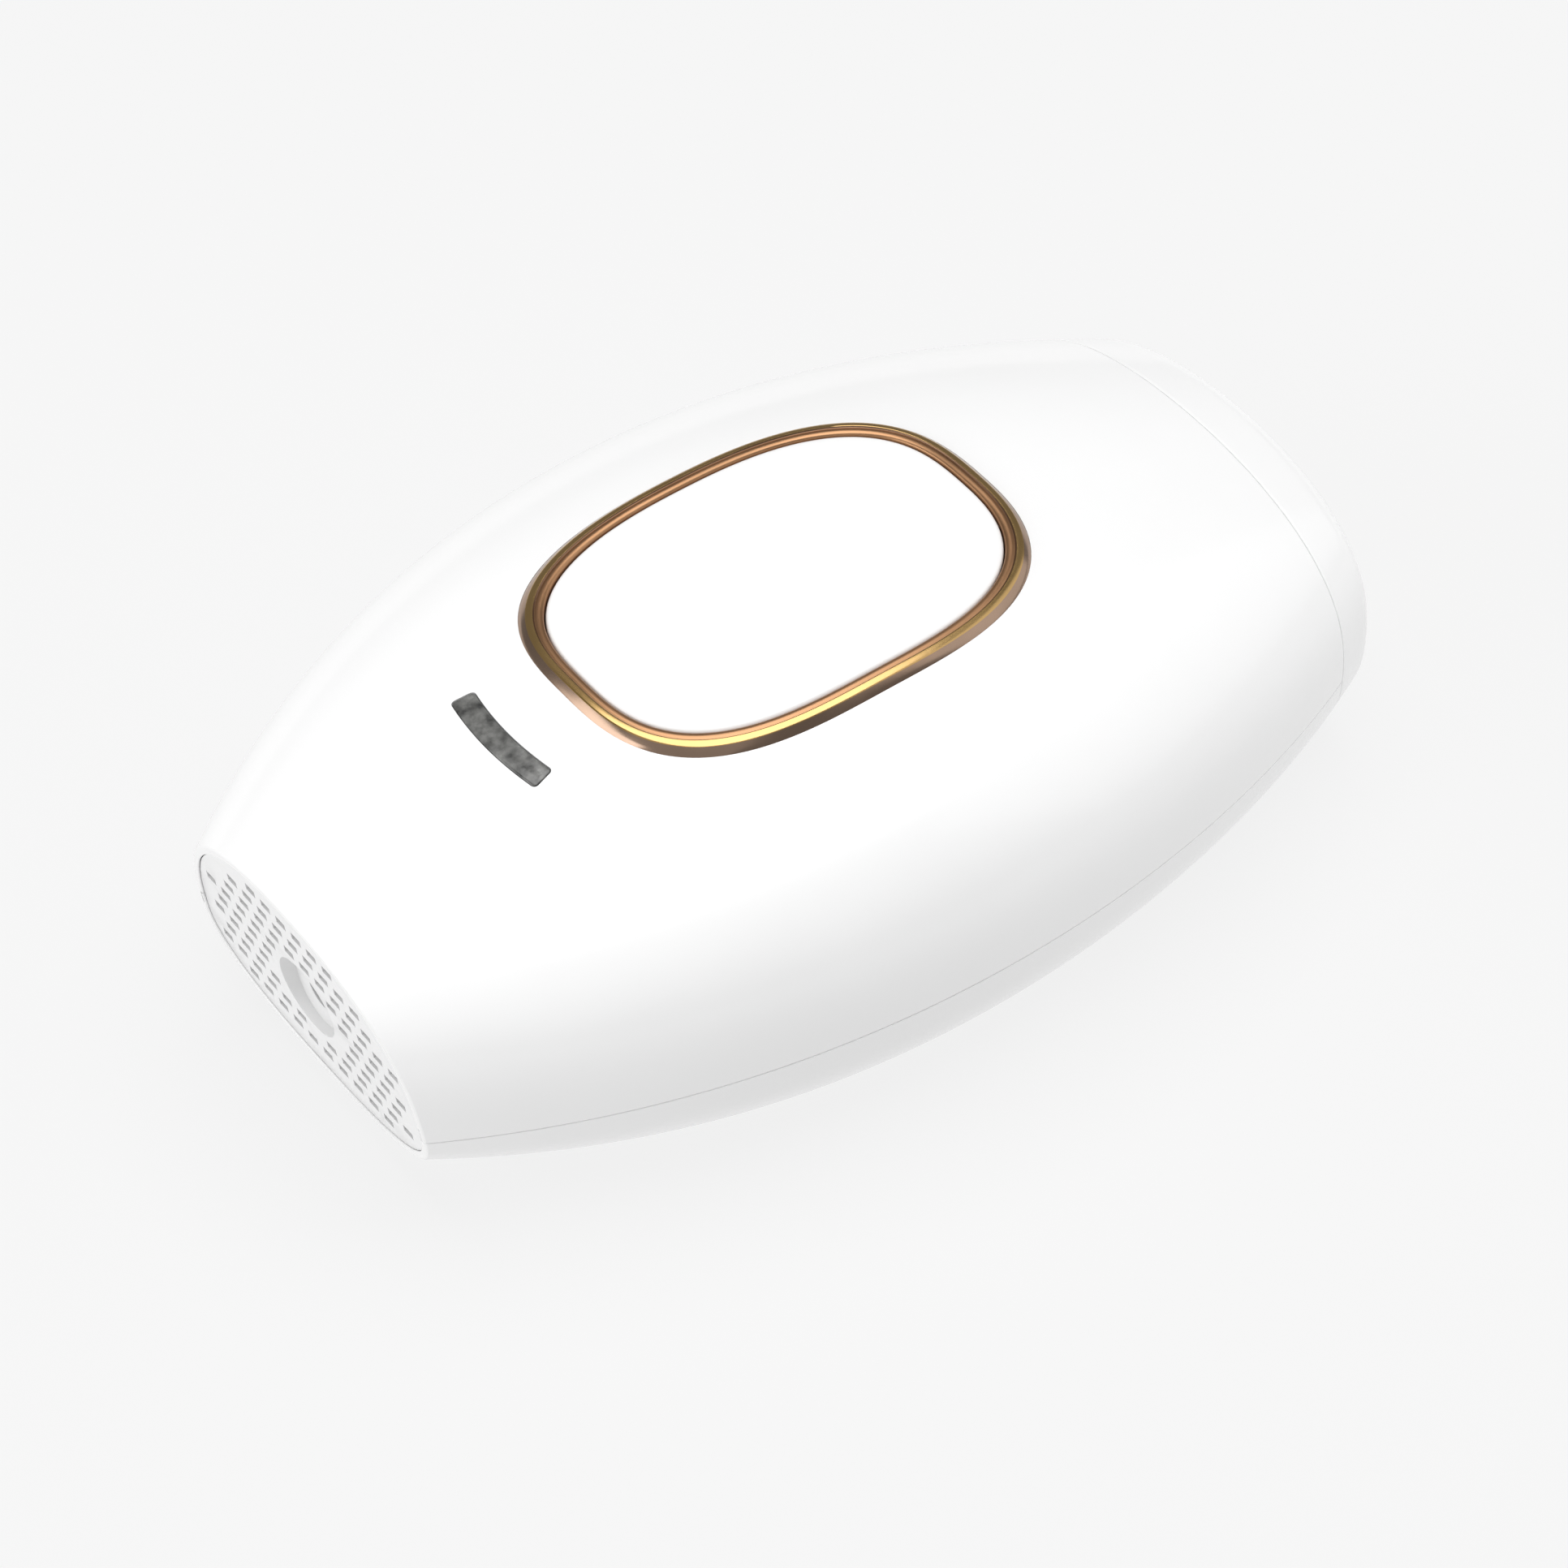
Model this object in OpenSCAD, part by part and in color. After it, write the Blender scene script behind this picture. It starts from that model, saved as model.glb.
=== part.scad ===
// Handset for intense pulsed light hair removal. Millimetres, +Z up.
// X runs from the vented tail (-X) to the light window (+X), Y across the body.
// The origin lies on the resting plane, under the middle of the body.

/* [Body] */
// Overall length, tail rim to window face
body_length = 143; // [141:1:146]
// Overall width
body_width = 92.7; // [92:0.1:95]
// Height of the casing's crown above the resting plane
body_height = 50.3; // [50:0.1:52]
// Wall of the casings
wall = 2.2; // [2:0.1:2.4]
// Lean of the tail's rim, its top outwards
tail_lean = 7.1; // [5:0.1:8]
// Gap shown along the parting line
reveal = 0.3; // [0.2:0.05:0.4]

/* [Head] */
// Depth of the head bezel
bezel_depth = 8.5; // [8:0.1:9]
// Width of the opening in the bezel
window_w = 42; // [40:0.5:43]
// Height of the opening in the bezel
window_h = 20; // [18:0.5:21]
// Diameter of the flash tube
tube_d = 4.8; // [4:0.1:5]

/* [Button] */
// Length of the trim ring
ring_length = 61.8; // [60:0.1:63]
// Width of the trim ring
ring_width = 44; // [43:0.1:45]
// Width of the trim ring's visible band
ring_band = 2.9; // [2.7:0.1:3.2]
// Travel of the shot button
button_travel = 0.6; // [0.4:0.1:0.8]
// Gap between the button and its ring
button_gap = 0.15; // [0.12:0.01:0.2]

/* [Indicator] */
// Radius of the indicator's arc about the ring's centre
indicator_radius = 40.3; // [39:0.1:41]
// Length of the indicator along its arc
indicator_length = 16.5; // [14:0.5:18]
// Width of the indicator
indicator_width = 3; // [2.5:0.1:3.2]

/* [Tail] */
// Depth of the grille inside the tail's rim
grille_recess = 0.3; // [0.2:0.1:0.8]
// Length of one grille slot
slot_length = 1.9; // [1.8:0.05:2.1]
// Height of one grille slot
slot_height = 1.2; // [1:0.1:1.3]
// Diameter of the recess for the power plug's grip
port_d = 10.9; // [10.5:0.1:11.5]
// Depth of the recess for the power plug's grip
port_depth = 2; // [1.9:0.1:2.6]
// Bore of the power jack
jack_bore_d = 5.7; // [5.6:0.1:5.9]
// Diameter of the power jack's centre pin
jack_pin_d = 2.1; // [2:0.1:2.5]

/* [Hidden] */

WHITE = [0.95, 0.95, 0.94];
GOLD = [0.82, 0.60, 0.36];
SMOKE = [0.22, 0.23, 0.24];
BLACK = [0.09, 0.09, 0.10];
STEEL = [0.72, 0.73, 0.75];
GREEN = [0.10, 0.36, 0.22];
COPPER = [0.72, 0.40, 0.20];
GLASS = [0.75, 0.82, 0.86];
PALE_GREY = [0.85, 0.85, 0.84];
BROWN = [0.30, 0.20, 0.15];
MILKY = [0.92, 0.93, 0.95];
LED_CREAM = [0.95, 0.95, 0.80];
DARK_GREY = [0.16, 0.16, 0.17];
SLEEVE_BLUE = [0.12, 0.13, 0.20];
FERRITE = [0.20, 0.20, 0.21];
ALUMINIUM = [0.80, 0.81, 0.82];
MIRROR = [0.90, 0.90, 0.92];
TAPE = [0.85, 0.75, 0.30];
CREAM = [0.93, 0.92, 0.86];
AMBER = [0.95, 0.75, 0.45];
RED = [0.75, 0.10, 0.10];
RIBBON = [0.80, 0.80, 0.80];

// Shape of the body at even stations from tail to head, as shares of its width and height
plan_shares = [0.511, 0.886, 1, 0.904, 0.608];
crown_shares = [0.751, 0.938, 1, 0.937, 0.753];
seam_shares = [0.336, 0.435, 0.342];
// Height of the keel at even stations; below zero it is cut flat by the resting plane
keel_heights = [6.5, -1.2, -0.3, 1.3];
// Superellipse powers of the section: across and up the roof, then across and down the bowl
roof_powers_y = [2.3, 2.08];
roof_powers_z = [2.5, 2.6];
bowl_powers = [2.6, 2.27];

head_x = body_length / 2;
// Length of the body's stations, which the rim's lean shortens
foot_lean = 3.3;
span = body_length - foot_lean;
tail_crown = body_height * crown_shares[0];
seam_gap = reveal / 2;
lip_skin = 1;
lip_height = 2;
lip_play = 0.15;
stations = 26;
arch_steps = 40;

// Ring and button
ring_x = -0.6;
ring_power = 2.82;
ring_steps = 64;
ring_a = ring_length / 2;
ring_b = ring_width / 2;
ring_base_z = 43.6;
ring_well_z = 35.6;
above_all = 60;
skirt_inset = 0.75;
seat_depth = 0.9;
seat_inset = 0.6;
// Section of the ring's bead, from the button's side outwards: share of its width, height over the roof
bead = [[1, 0], [0.96, 0.33], [0.84, 0.56], [0.7, 0.6], [0.63, 0.44], [0.57, 0.74],
        [0.46, 0.8], [0.35, 0.72], [0.16, 0.3], [0, -0.15], [0, -0.8]];
button_inset = ring_band + button_gap;
flange_drop = 0.2;
flange_t = 1;
flange_w = 1.2;
button_roof_z = 45.4;
button_skin = 1.8;
button_crown = 0.35;
button_post_r = 2.8;
button_stem_r = 2;
post_sink = 0.5;

// Levels under the button
tray_z = 34.5;
tray_t = 1.5;
tray_top = tray_z + tray_t;
tray_size = [60, 50];
tray_bosses = [26, 21.5];
tray_boss_r = 3;
small_head_r = 1.9;
small_head_h = 1.4;
small_screw_r = 0.85;
small_pilot_r = 0.95;
small_hole_r = 1.1;
small_screw_l = 5;
control_size = [30, 26];
board_t = 1.2;
switch_size = 6;
switch_h = 3.5;
plunger_r = 1.7;
plunger_rise = button_travel + 0.2;
plunger_play = 0.05;
plunger_h = 2.9;
well_floor = 0.6;
spring_seat_z = 42.4;
spring_places = [19, 9.5];
spring_r = 2.3;
spring_wire = 0.5;
spring_turns = 4;

// Indicator, stacked downwards: lens, light guide, diodes, board
lens_play = 0.05;
lens_sink = 0.08;
lens_low_z = 42.6;
guide_grow = 0.9;
guide_z = [40.4, 42.5];
guide_leg_y = 8.4;
led_z = 39.2;
led_size = 1.6;
led_h = 0.8;
led_turn = 4.6;
lamp_board_z = 38.2;
lamp_board_size = [7, 22];

// Head
bezel_u = 1 - bezel_depth / span;
shell_stop_u = bezel_u - 0.001;
window_z = 19.6;
window_power = 5;
bezel_round_x = 2.6;
bezel_round_y = 1.6;
collar_t = 1.3;
collar_play = 0.3;
collar_reach = 0.02;
glass_x = 66.4;
glass_t = 2;
glass_size = [40, 18];
frame_x = 68.5;
frame_band = 3;
frame_flange = 0.7;
frame_flange_r = 8;
frame_setback = 0.4;
holder_x = 50;
holder_half_y = 23.3;
holder_back = 1.6;
holder_side = 2;
holder_shelf = 1.3;
holder_low_z = 10;
holder_high_z = 29.2;
lamp_x = 57;
reflector_x = lamp_x + 2.4;
reflector_r = 7.5;
reflector_t = 0.5;
reflector_lip = 6.8;
reflector_half_y = holder_half_y - 3;
tube_half_y = holder_half_y - 4;
electrode_r = 1.6;
electrode_end = 28;
coil_place = [42, -6, 33.2];
coil_r = 3;
coil_bore_r = 0.8;
coil_l = 12;

// Tail
port_z = 20.9;
grille_t = 1.8;
grille_u = grille_recess / span;
grille_x = tail_x(port_z) + grille_recess;
row_pitch = 2.75;
row_lift = 0.1;
column_pitch = 3.15;
grille_margin = 1.3;
grille_play = 0.25;
// Thin rim round the grille, ahead of the shoulder that it sits on
rim_t = 1.2;
rim_u = (grille_recess + grille_t + 0.1) / span;
sleeve_t = 0.8;
port_floor_t = 0.6;
port_floor_x = grille_x + port_depth;
jack_depth = 9.4;
jack_size = [12, 9, 10];
jack_x = port_floor_x + port_floor_t;
jack_pin_x = jack_x + 0.3;

// Fan
fan_x = -46;
fan_t = 8;
fan_side = 30;
fan_z = port_z;
fan_bore_r = 14;
fan_hole_r = 1.4;
fan_hole_inset = 2.6;
fan_plate_t = 1;
rotor_r = 13.4;
rotor_x = fan_x + 0.6;
rotor_depth = 5.8;
rotor_face = 1;
hub_r = 6.8;
hub_wall = 0.8;
shaft_r = 1;
shaft_play = 0.04;
shaft_l = 6.4;
bearing_r = 2.4;
stator_x = fan_x + 2.8;
stator_depth = 3.8;
stator_play = 0.5;
blade_count = 7;
blade_turn = 38;

// Power electronics
board_z = 5;
board_x = [-34, 37];
board_half_y = 19;
board_thick = 1.6;
board_top = board_z + board_thick;
board_posts_x = [-30, 33];
board_posts_y = 15;
board_post_r = 2.5;
board_floor_z = 1;
board_pilot_z = 2.4;
board_pilot_r = 0.9;
board_head_r = 2;
board_head_h = 1.3;
transformer_low = [2, -8];
transformer_size = [18, 16, 16];
transformer_x = 1;
winding_r = 4.2;
winding_l = 14.8;
winding_slit = 1.55;
switch_x = 24.2;
switch_t = 1.6;
sink_x = switch_x + switch_t;
sink_t = 1.8;
sink_h = 18;
sink_half_y = 10;
fin_x = 31.5;
fin_t = 1.2;
fin_pitch = 3.76;
fin_count = 6;
filter_place = [6, 13.5];
filter_r = 4;
filter_h = 14;
capacitor_r = 12.5;
capacitor_length = 50;
capacitor_x = -20;
capacitor_z = 20.5;
capacitor_groove = 2.4;
capacitor_pins = 3;
lead_r = 0.8;
lead_sides = 8;

// Case screws: x, half spacing in y, height of the screw head's seat
case_places = [[-52, 16, 7], [42, 20, 5]];
post_r = 3.5;
post_top = 12;
post_root = 2.08;
screw_r = 1.25;
screw_head_r = 2.4;
screw_head_h = 1.8;
head_play = 0.3;
shank_play = 0.25;
screw_end = 20;

// Sum and product of a list
function total(v, i = 0) = i == len(v) ? 0 : v[i] + total(v, i + 1);
function product(v, i = 0) = i == len(v) ? 1 : v[i] * product(v, i + 1);
// Value at share t of the smooth curve through evenly spaced values
function weight(n, i, t) = product([for (j = [0:n]) if (j != i) (t * n - j) / (i - j)]);
function curve(v, t) = total([for (i = [0:len(v) - 1]) v[i] * weight(len(v) - 1, i, t)]);
function signed_power(v, p) = sign(v) * pow(abs(v), p);

// Casing shape at share u of its length
function half_width(u) = body_width / 2 * curve(plan_shares, u);
function crown(u) = body_height * curve(crown_shares, u);
function seam(u) = body_height * curve(seam_shares, u);
function keel(u) = curve(keel_heights, u);
function tail_x(z) = -body_length / 2 + (tail_crown - z) * tan(tail_lean);
function station_x(u, z) = tail_x(z) + u * (head_x - tail_x(z));
function share_at(x, z) = (x - tail_x(z)) / (head_x - tail_x(z));
function placed(u, p) = [station_x(u, p.y), p.x, p.y];

// Points [y, z] of a section at angle a, set in by d: over the roof, under the bowl, all round
function arch(u, a, d, foot) = [
    (half_width(u) - d) * signed_power(cos(a), 2 / curve(roof_powers_y, u)),
    foot + (crown(u) - d - foot) * signed_power(sin(a), 2 / curve(roof_powers_z, u))
];
function bowl(u, a, d, rim) = [
    (half_width(u) - d) * signed_power(cos(a), 2 / bowl_powers[0]),
    max(d, rim - (rim - keel(u) - d) * signed_power(sin(a), 2 / bowl_powers[1]))
];
function around(u, a, d) = a <= 180 ? arch(u, a, d, seam(u)) : bowl(u, 360 - a, d, seam(u));

// Height of the roof over a point
function roof_over(u, y) = let (w = half_width(u), s = seam(u))
    s + (crown(u) - s) * pow(max(0, 1 - pow(abs(y) / w, curve(roof_powers_y, u))),
                             1 / curve(roof_powers_z, u));
function roof(x, y, z = 48, n = 5) = n == 0 ? z : roof(x, y, roof_over(share_at(x, z), y), n - 1);

// Outline of the ring, set in by d
function ring_point(a, d) = [
    ring_x + (ring_a - d) * signed_power(cos(a), 2 / ring_power),
    (ring_b - d) * signed_power(sin(a), 2 / ring_power)
];
function ring_outline(d) = [for (i = [0:ring_steps - 1]) ring_point(360 * i / ring_steps, d)];

// Side faces of a solid through m equal closed loops of n points
function skin_faces(n, m) = [for (i = [0:m - 2], j = [0:n - 1], k = [0, 1])
    let (a = i * n + j, b = i * n + (j + 1) % n)
    k == 0 ? [a, a + n, b] : [b, a + n, b + n]];

// Solid through equal closed loops, with flat ends
module loft(loops) {
    n = len(loops[0]);
    m = len(loops);
    polyhedron(points = [for (l = loops) each l], faces = concat(
        [[for (j = [0:n - 1]) j], [for (j = [n - 1:-1:0]) (m - 1) * n + j]], skin_faces(n, m)));
}

// Half casing through open arches: outer arch, two rim points, inner arch back, two rim points
module casing(loops) {
    far = 2 * arch_steps + 3;
    n = len(loops[0]);
    m = len(loops);
    ends = concat(
        [[far + 2, 0, 1, far - 1, far, far + 1]],
        [for (i = [1:arch_steps - 2]) [i, i + 1, far - i - 1, far - i]],
        [[for (i = [-1:4]) arch_steps + i]]);
    polyhedron(points = [for (l = loops) each l], faces = concat(
        ends, [for (f = ends) [for (i = [len(f) - 1:-1:0]) f[i] + (m - 1) * n]], skin_faces(n, m)));
}

// Closed tube through equal closed loops, the last joined to the first
module hoop(loops) {
    n = len(loops[0]);
    m = len(loops);
    polyhedron(
        points = [for (l = loops) each l],
        faces = [for (i = [0:m - 1], j = [0:n - 1], k = [0, 1])
            let (a = i * n + j, b = i * n + (j + 1) % n, up = (i + 1) % m * n,
                 c = up + j, d = up + (j + 1) % n)
            k == 0 ? [a, c, b] : [b, c, d]]
    );
}

module mirrored() {
    children();
    mirror([0, 1, 0]) children();
}

module along_x(x) {
    translate([x, 0, 0]) rotate([90, 0, 90]) children();
}

module box_from(low, high) {
    translate(low) cube(high - low);
}

// Point at share t of a Bezier curve
function bezier(p, t) = len(p) == 1 ? p[0]
    : bezier([for (i = [0:len(p) - 2]) p[i] * (1 - t) + p[i + 1] * t], t);
function unit(v) = v / norm(v);
function lead_loop(c, ahead, r) =
    let (side = unit(cross(ahead, [0.31, 0.47, 0.83])), up = cross(ahead, side))
    [for (j = [0:lead_sides - 1]) let (a = 360 * j / lead_sides) c + r * (cos(a) * side + sin(a) * up)];
// Smooth route along straight runs, each corner rounded in a few steps
function route(p, steps = 4) = let (end = len(p) - 1) [p[0], for (i = [1:end - 1], j = [1:steps])
    let (from = i == 1 ? p[0] : (p[i - 1] + p[i]) / 2, to = i == end - 1 ? p[end] : (p[i] + p[i + 1]) / 2)
    bezier([from, p[i], to], j / steps)];
module lead(p, r = lead_r) {
    path = route(p);
    end = len(p) - 1;
    last = len(path) - 1;
    loft([for (i = [0:last])
        let (ahead = i == 0 ? p[1] - p[0] : i == last ? p[end] - p[end - 1] : path[i + 1] - path[i - 1])
        lead_loop(path[i], unit(ahead), r)]);
}

module case_posts(low, high, r) {
    for (c = case_places) mirrored()
        translate([c[0], c[1], low]) cylinder(r = r, h = high - low, $fn = 32);
}

// Walls of the casings at share u, thinner round the grille
function wall_at(u) = u < rim_u ? rim_t : wall;
function skin_at(u) = u < rim_u ? rim_t / 2 : lip_skin;
casing_shares = concat([0, rim_u - 0.0002],
    [for (i = [0:stations]) rim_u + (shell_stop_u - rim_u) * i / stations]);

// Section of the top casing: roof, groove for the tongue, inner roof
function top_loop(u) = let (w = half_width(u), t = wall_at(u), s = seam(u) + seam_gap,
                            groove = w - skin_at(u), up = s + lip_height)
    [for (p = concat(
        [for (i = [0:arch_steps]) arch(u, 180 * i / arch_steps, 0, s)],
        [[-groove, s], [-groove, up]],
        [[t - w, up]],
        [for (i = [arch_steps - 1:-1:1]) arch(u, 180 * i / arch_steps, t, s)],
        [[w - t, up], [groove, up], [groove, s]])) placed(u, p)];

// Section of the bottom casing: bowl, tongue, inner bowl
function bottom_loop(u) = let (w = half_width(u), t = wall_at(u), s = seam(u) - seam_gap,
                               tongue = w - skin_at(u) - lip_play, up = s + lip_height)
    [for (p = concat(
        [for (i = [arch_steps:-1:0]) bowl(u, 180 * i / arch_steps, 0, s)],
        [[tongue, s], [tongue, up]],
        [[w - t, up]],
        [for (i = [1:arch_steps - 1]) bowl(u, 180 * i / arch_steps, t, s)],
        [[t - w, up], [-tongue, up], [-tongue, s]])) placed(u, p)];

// Arc of the indicator grown by an amount, between two levels
module indicator_sector(grow, low, high) {
    r0 = indicator_radius - indicator_width / 2 - grow;
    r1 = indicator_radius + indicator_width / 2 + grow;
    half = (indicator_length / 2 + grow) / indicator_radius * 180 / PI;
    points = concat(
        [for (i = [-6:6]) let (a = 180 + half * i / 6) [ring_x + r1 * cos(a), r1 * sin(a)]],
        [for (i = [6:-1:-6]) let (a = 180 + half * i / 6) [ring_x + r0 * cos(a), r0 * sin(a)]]);
    translate([0, 0, low]) linear_extrude(high - low) polygon(points);
}

// Pair of posts hanging from the roof, their tops kept under its slope
module roof_post(x, y, low, r) {
    top = roof(x + sign(x) * 0.71 * r, y + 0.71 * r) - 0.3;
    mirrored() translate([x, y, low]) cylinder(r = r, h = top - low, $fn = 32);
}

// Seat of the ring's outer edge, cut a little into the roof
module ring_seat() {
    section = [[-0.1, -seat_depth], [1, -seat_depth], [1, 3], [-0.1, 3]];
    hoop([for (i = [0:ring_steps - 1]) [for (q = section)
        let (p = ring_point(360 * i / ring_steps, q.x)) [p.x, p.y, roof(p.x, p.y) + q.y]]]);
}

module top_shell() {
    color(WHITE) difference() {
        union() {
            casing([for (u = casing_shares) top_loop(u)]);
            for (c = case_places) roof_post(c[0], c[1], post_top + 0.1, post_r);
            for (x = [-1, 1]) roof_post(x * tray_bosses.x, tray_bosses.y, tray_top, tray_boss_r);
        }
        translate([0, 0, ring_well_z]) linear_extrude(above_all) polygon(ring_outline(seat_inset));
        ring_seat();
        indicator_sector(lens_play, lens_low_z - 4, above_all);
        case_posts(post_top - 1, screw_end + 1, screw_r + 0.05);
        for (x = [-1, 1]) mirrored()
            translate([x * tray_bosses.x, tray_bosses.y, tray_top - 1])
                cylinder(r = small_pilot_r, h = 6, $fn = 24);
    }
}

module bottom_shell() {
    color(WHITE) difference() {
        union() {
            casing([for (u = casing_shares) bottom_loop(u)]);
            for (c = case_places) mirrored()
                translate([c[0], c[1], c[2] - post_root])
                    cylinder(r = post_r, h = post_top - c[2] + post_root, $fn = 32);
            for (x = board_posts_x) mirrored()
                translate([x, board_posts_y, board_floor_z])
                    cylinder(r = board_post_r, h = board_z - board_floor_z, $fn = 32);
        }
        for (c = case_places) mirrored() translate([c[0], c[1], -1]) {
            cylinder(r = screw_head_r + head_play, h = c[2] + 1, $fn = 32);
            cylinder(r = screw_r + shank_play, h = post_top + 2, $fn = 32);
        }
        for (x = board_posts_x) mirrored()
            translate([x, board_posts_y, board_pilot_z]) cylinder(r = board_pilot_r, h = board_z, $fn = 24);
    }
}

// Loops of the head: round the window's opening, and round the body
function window_loop(x, grow) = [for (i = [0:ring_steps - 1]) let (a = 360 * i / ring_steps) [
    x,
    (window_w / 2 + grow) * signed_power(cos(a), 2 / window_power),
    window_z + (window_h / 2 + grow) * signed_power(sin(a), 2 / window_power)]];
function body_loop(u, d) = [for (i = [0:ring_steps - 1]) placed(u, around(u, 360 * i / ring_steps, d))];

module head_bezel() {
    inside = wall + collar_t;
    collar_u = bezel_u - collar_reach;
    color(WHITE) hoop(concat(
        [body_loop(bezel_u, 0), body_loop((bezel_u + 1) / 2 - 0.01, 0)],
        [for (q = [0:30:90])
            body_loop(1 - bezel_round_x / span * (1 - sin(q)), bezel_round_y * (1 - cos(q)))],
        [window_loop(head_x, 0), window_loop(head_x - wall, 0)],
        [body_loop(1 - wall / span, inside), body_loop(collar_u, inside),
         body_loop(collar_u, wall + collar_play), body_loop(bezel_u, wall + collar_play)]
    ));
}

module trim_ring() {
    color(GOLD) hoop([for (i = [0:ring_steps - 1]) let (a = 360 * i / ring_steps) concat(
        [for (q = concat(bead, [[skirt_inset / ring_band, -0.8]]))
            let (p = ring_point(a, q.x * ring_band)) [p.x, p.y, roof(p.x, p.y) + q.y]],
        [for (d = [skirt_inset, ring_band]) [each ring_point(a, d), ring_base_z]])]);
}

// Loop on the button: share s of the outline set in by d, at height h over the roof or at level z
function button_loop(s, d, h, z = undef) = [for (i = [0:ring_steps - 1])
    let (q = ring_point(360 * i / ring_steps, d), x = ring_x + s * (q.x - ring_x), y = s * q.y)
    [x, y, is_undef(z) ? roof(x, y) + h : z]];

// Post under the button, from a level up into its skin
module button_post(x, y, r, low) {
    translate([ring_x + x, y, low]) cylinder(r = r, h = button_roof_z + post_sink - low, $fn = 32);
}

module shot_button() {
    inside = button_inset + button_skin;
    outside = button_inset - flange_w;
    flange_z = ring_base_z - flange_drop;
    plunger_z = tray_top + board_t + switch_h + plunger_rise + plunger_play;
    color(WHITE) {
        loft(concat(
            [button_loop(1, inside, 0, button_roof_z), button_loop(1, inside, 0, flange_z - flange_t),
             button_loop(1, outside, 0, flange_z - flange_t), button_loop(1, outside, 0, flange_z),
             button_loop(1, button_inset, 0, flange_z), button_loop(1, button_inset, -0.4),
             button_loop(1, button_inset + 0.15, 0.05), button_loop(1, button_inset + 0.6, 0.3)],
            [for (s = [0.85, 0.7, 0.5, 0.3]) button_loop(s, button_inset, button_crown)],
            [button_loop(0.1, button_inset, 0, roof(ring_x, 0) + button_crown - 0.02)]
        ));
        for (x = [-1, 1], y = [-1, 1])
            button_post(x * spring_places.x, y * spring_places.y, button_post_r, spring_seat_z);
        button_post(0, 0, button_stem_r, plunger_z);
    }
}

module button_springs() {
    rings = 11 * spring_turns;
    low = tray_top + spring_wire / 2;
    rise = spring_seat_z - tray_top - spring_wire;
    coil_r = spring_r - spring_wire / 2;
    color(STEEL) for (x = [-1, 1], y = [-1, 1])
        translate([ring_x + x * spring_places.x, y * spring_places.y, low])
            loft([for (i = [0:rings]) let (a = 360 * spring_turns * i / rings)
                lead_loop([coil_r * cos(a), coil_r * sin(a), rise * i / rings], unit([-sin(a), cos(a), 0.1]),
                          spring_wire / 2)]);
}

module rounded_plate(size, r, h) {
    linear_extrude(h) union() {
        square([size.x - 2 * r, size.y], center = true);
        square([size.x, size.y - 2 * r], center = true);
        for (x = [-1, 1], y = [-1, 1])
            translate([x * (size.x / 2 - r), y * (size.y / 2 - r)]) circle(r = r, $fn = 32);
    }
}

module button_tray() {
    color(PALE_GREY) difference() {
        translate([0, 0, tray_z]) rounded_plate(tray_size, 5, tray_t);
        for (x = [-1, 1], y = [-1, 1])
            translate([x * tray_bosses.x, y * tray_bosses.y, tray_z - 1])
                cylinder(r = small_hole_r, h = 4, $fn = 24);
    }
}

module tray_screws() {
    color(STEEL) for (x = [-1, 1], y = [-1, 1]) translate([x * tray_bosses.x, y * tray_bosses.y, tray_z]) {
        translate([0, 0, -small_head_h]) cylinder(r = small_head_r, h = small_head_h, $fn = 24);
        translate([0, 0, -1]) cylinder(r = small_screw_r, h = small_screw_l, $fn = 24);
    }
}

module control_board() {
    color(GREEN) translate([ring_x, 0, tray_top]) rounded_plate(control_size, 1.5, board_t);
}

module switch_body() {
    color(BLACK) translate([ring_x, 0, tray_top + board_t]) difference() {
        translate([-switch_size / 2, -switch_size / 2, 0]) cube([switch_size, switch_size, switch_h]);
        translate([0, 0, well_floor]) cylinder(r = plunger_r + plunger_play, h = switch_h, $fn = 32);
    }
}

module switch_plunger() {
    top = tray_top + board_t + switch_h + plunger_rise;
    color(BROWN) translate([ring_x, 0, top - plunger_h]) cylinder(r = plunger_r, h = plunger_h, $fn = 32);
}

module indicator_lens() {
    half = (indicator_length / 2 - lens_play) / indicator_radius * 180 / PI;
    corners = [[-1, 1], [1, 1], [1, 0], [-1, 0]];
    color(SMOKE) loft([for (i = [-8:8]) let (a = 180 + half * i / 8) [for (q = corners)
        let (r = indicator_radius + q.x * (indicator_width / 2 - lens_play),
             x = ring_x + r * cos(a), y = r * sin(a))
        [x, y, q.y == 1 ? roof(x, y) - lens_sink : lens_low_z]]]);
}

module light_guide() {
    color(MILKY) {
        indicator_sector(guide_grow, guide_z[0], guide_z[1]);
        mirrored()
            translate([ring_x - indicator_radius + 1, guide_leg_y, led_z]) cylinder(r = 1, h = 2, $fn = 24);
    }
}

module indicator_board() {
    color(GREEN) translate([ring_x - indicator_radius, 0, lamp_board_z])
        rounded_plate(lamp_board_size, 1, led_z - lamp_board_z);
}

module indicator_leds() {
    half = led_size / 2;
    color(LED_CREAM) for (i = [-2:2]) let (a = 180 + led_turn * i)
        translate([ring_x + indicator_radius * cos(a) - half, indicator_radius * sin(a) - half, led_z])
            cube([led_size, led_size, led_h]);
}

// Share of the way to the grille's outline, set in by a margin, at y across and z up; 1 lies on it
function grille_share(y, z, margin) =
    let (d = rim_t + margin, w = half_width(grille_u) - d, s = seam(grille_u))
    z >= s
        ? pow(abs(y) / w, roof_powers_y[0]) + pow((z - s) / (crown(grille_u) - d - s), roof_powers_z[0])
        : pow(abs(y) / w, bowl_powers[0]) + pow((s - z) / (s - keel(grille_u) - d), bowl_powers[1]);

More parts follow.
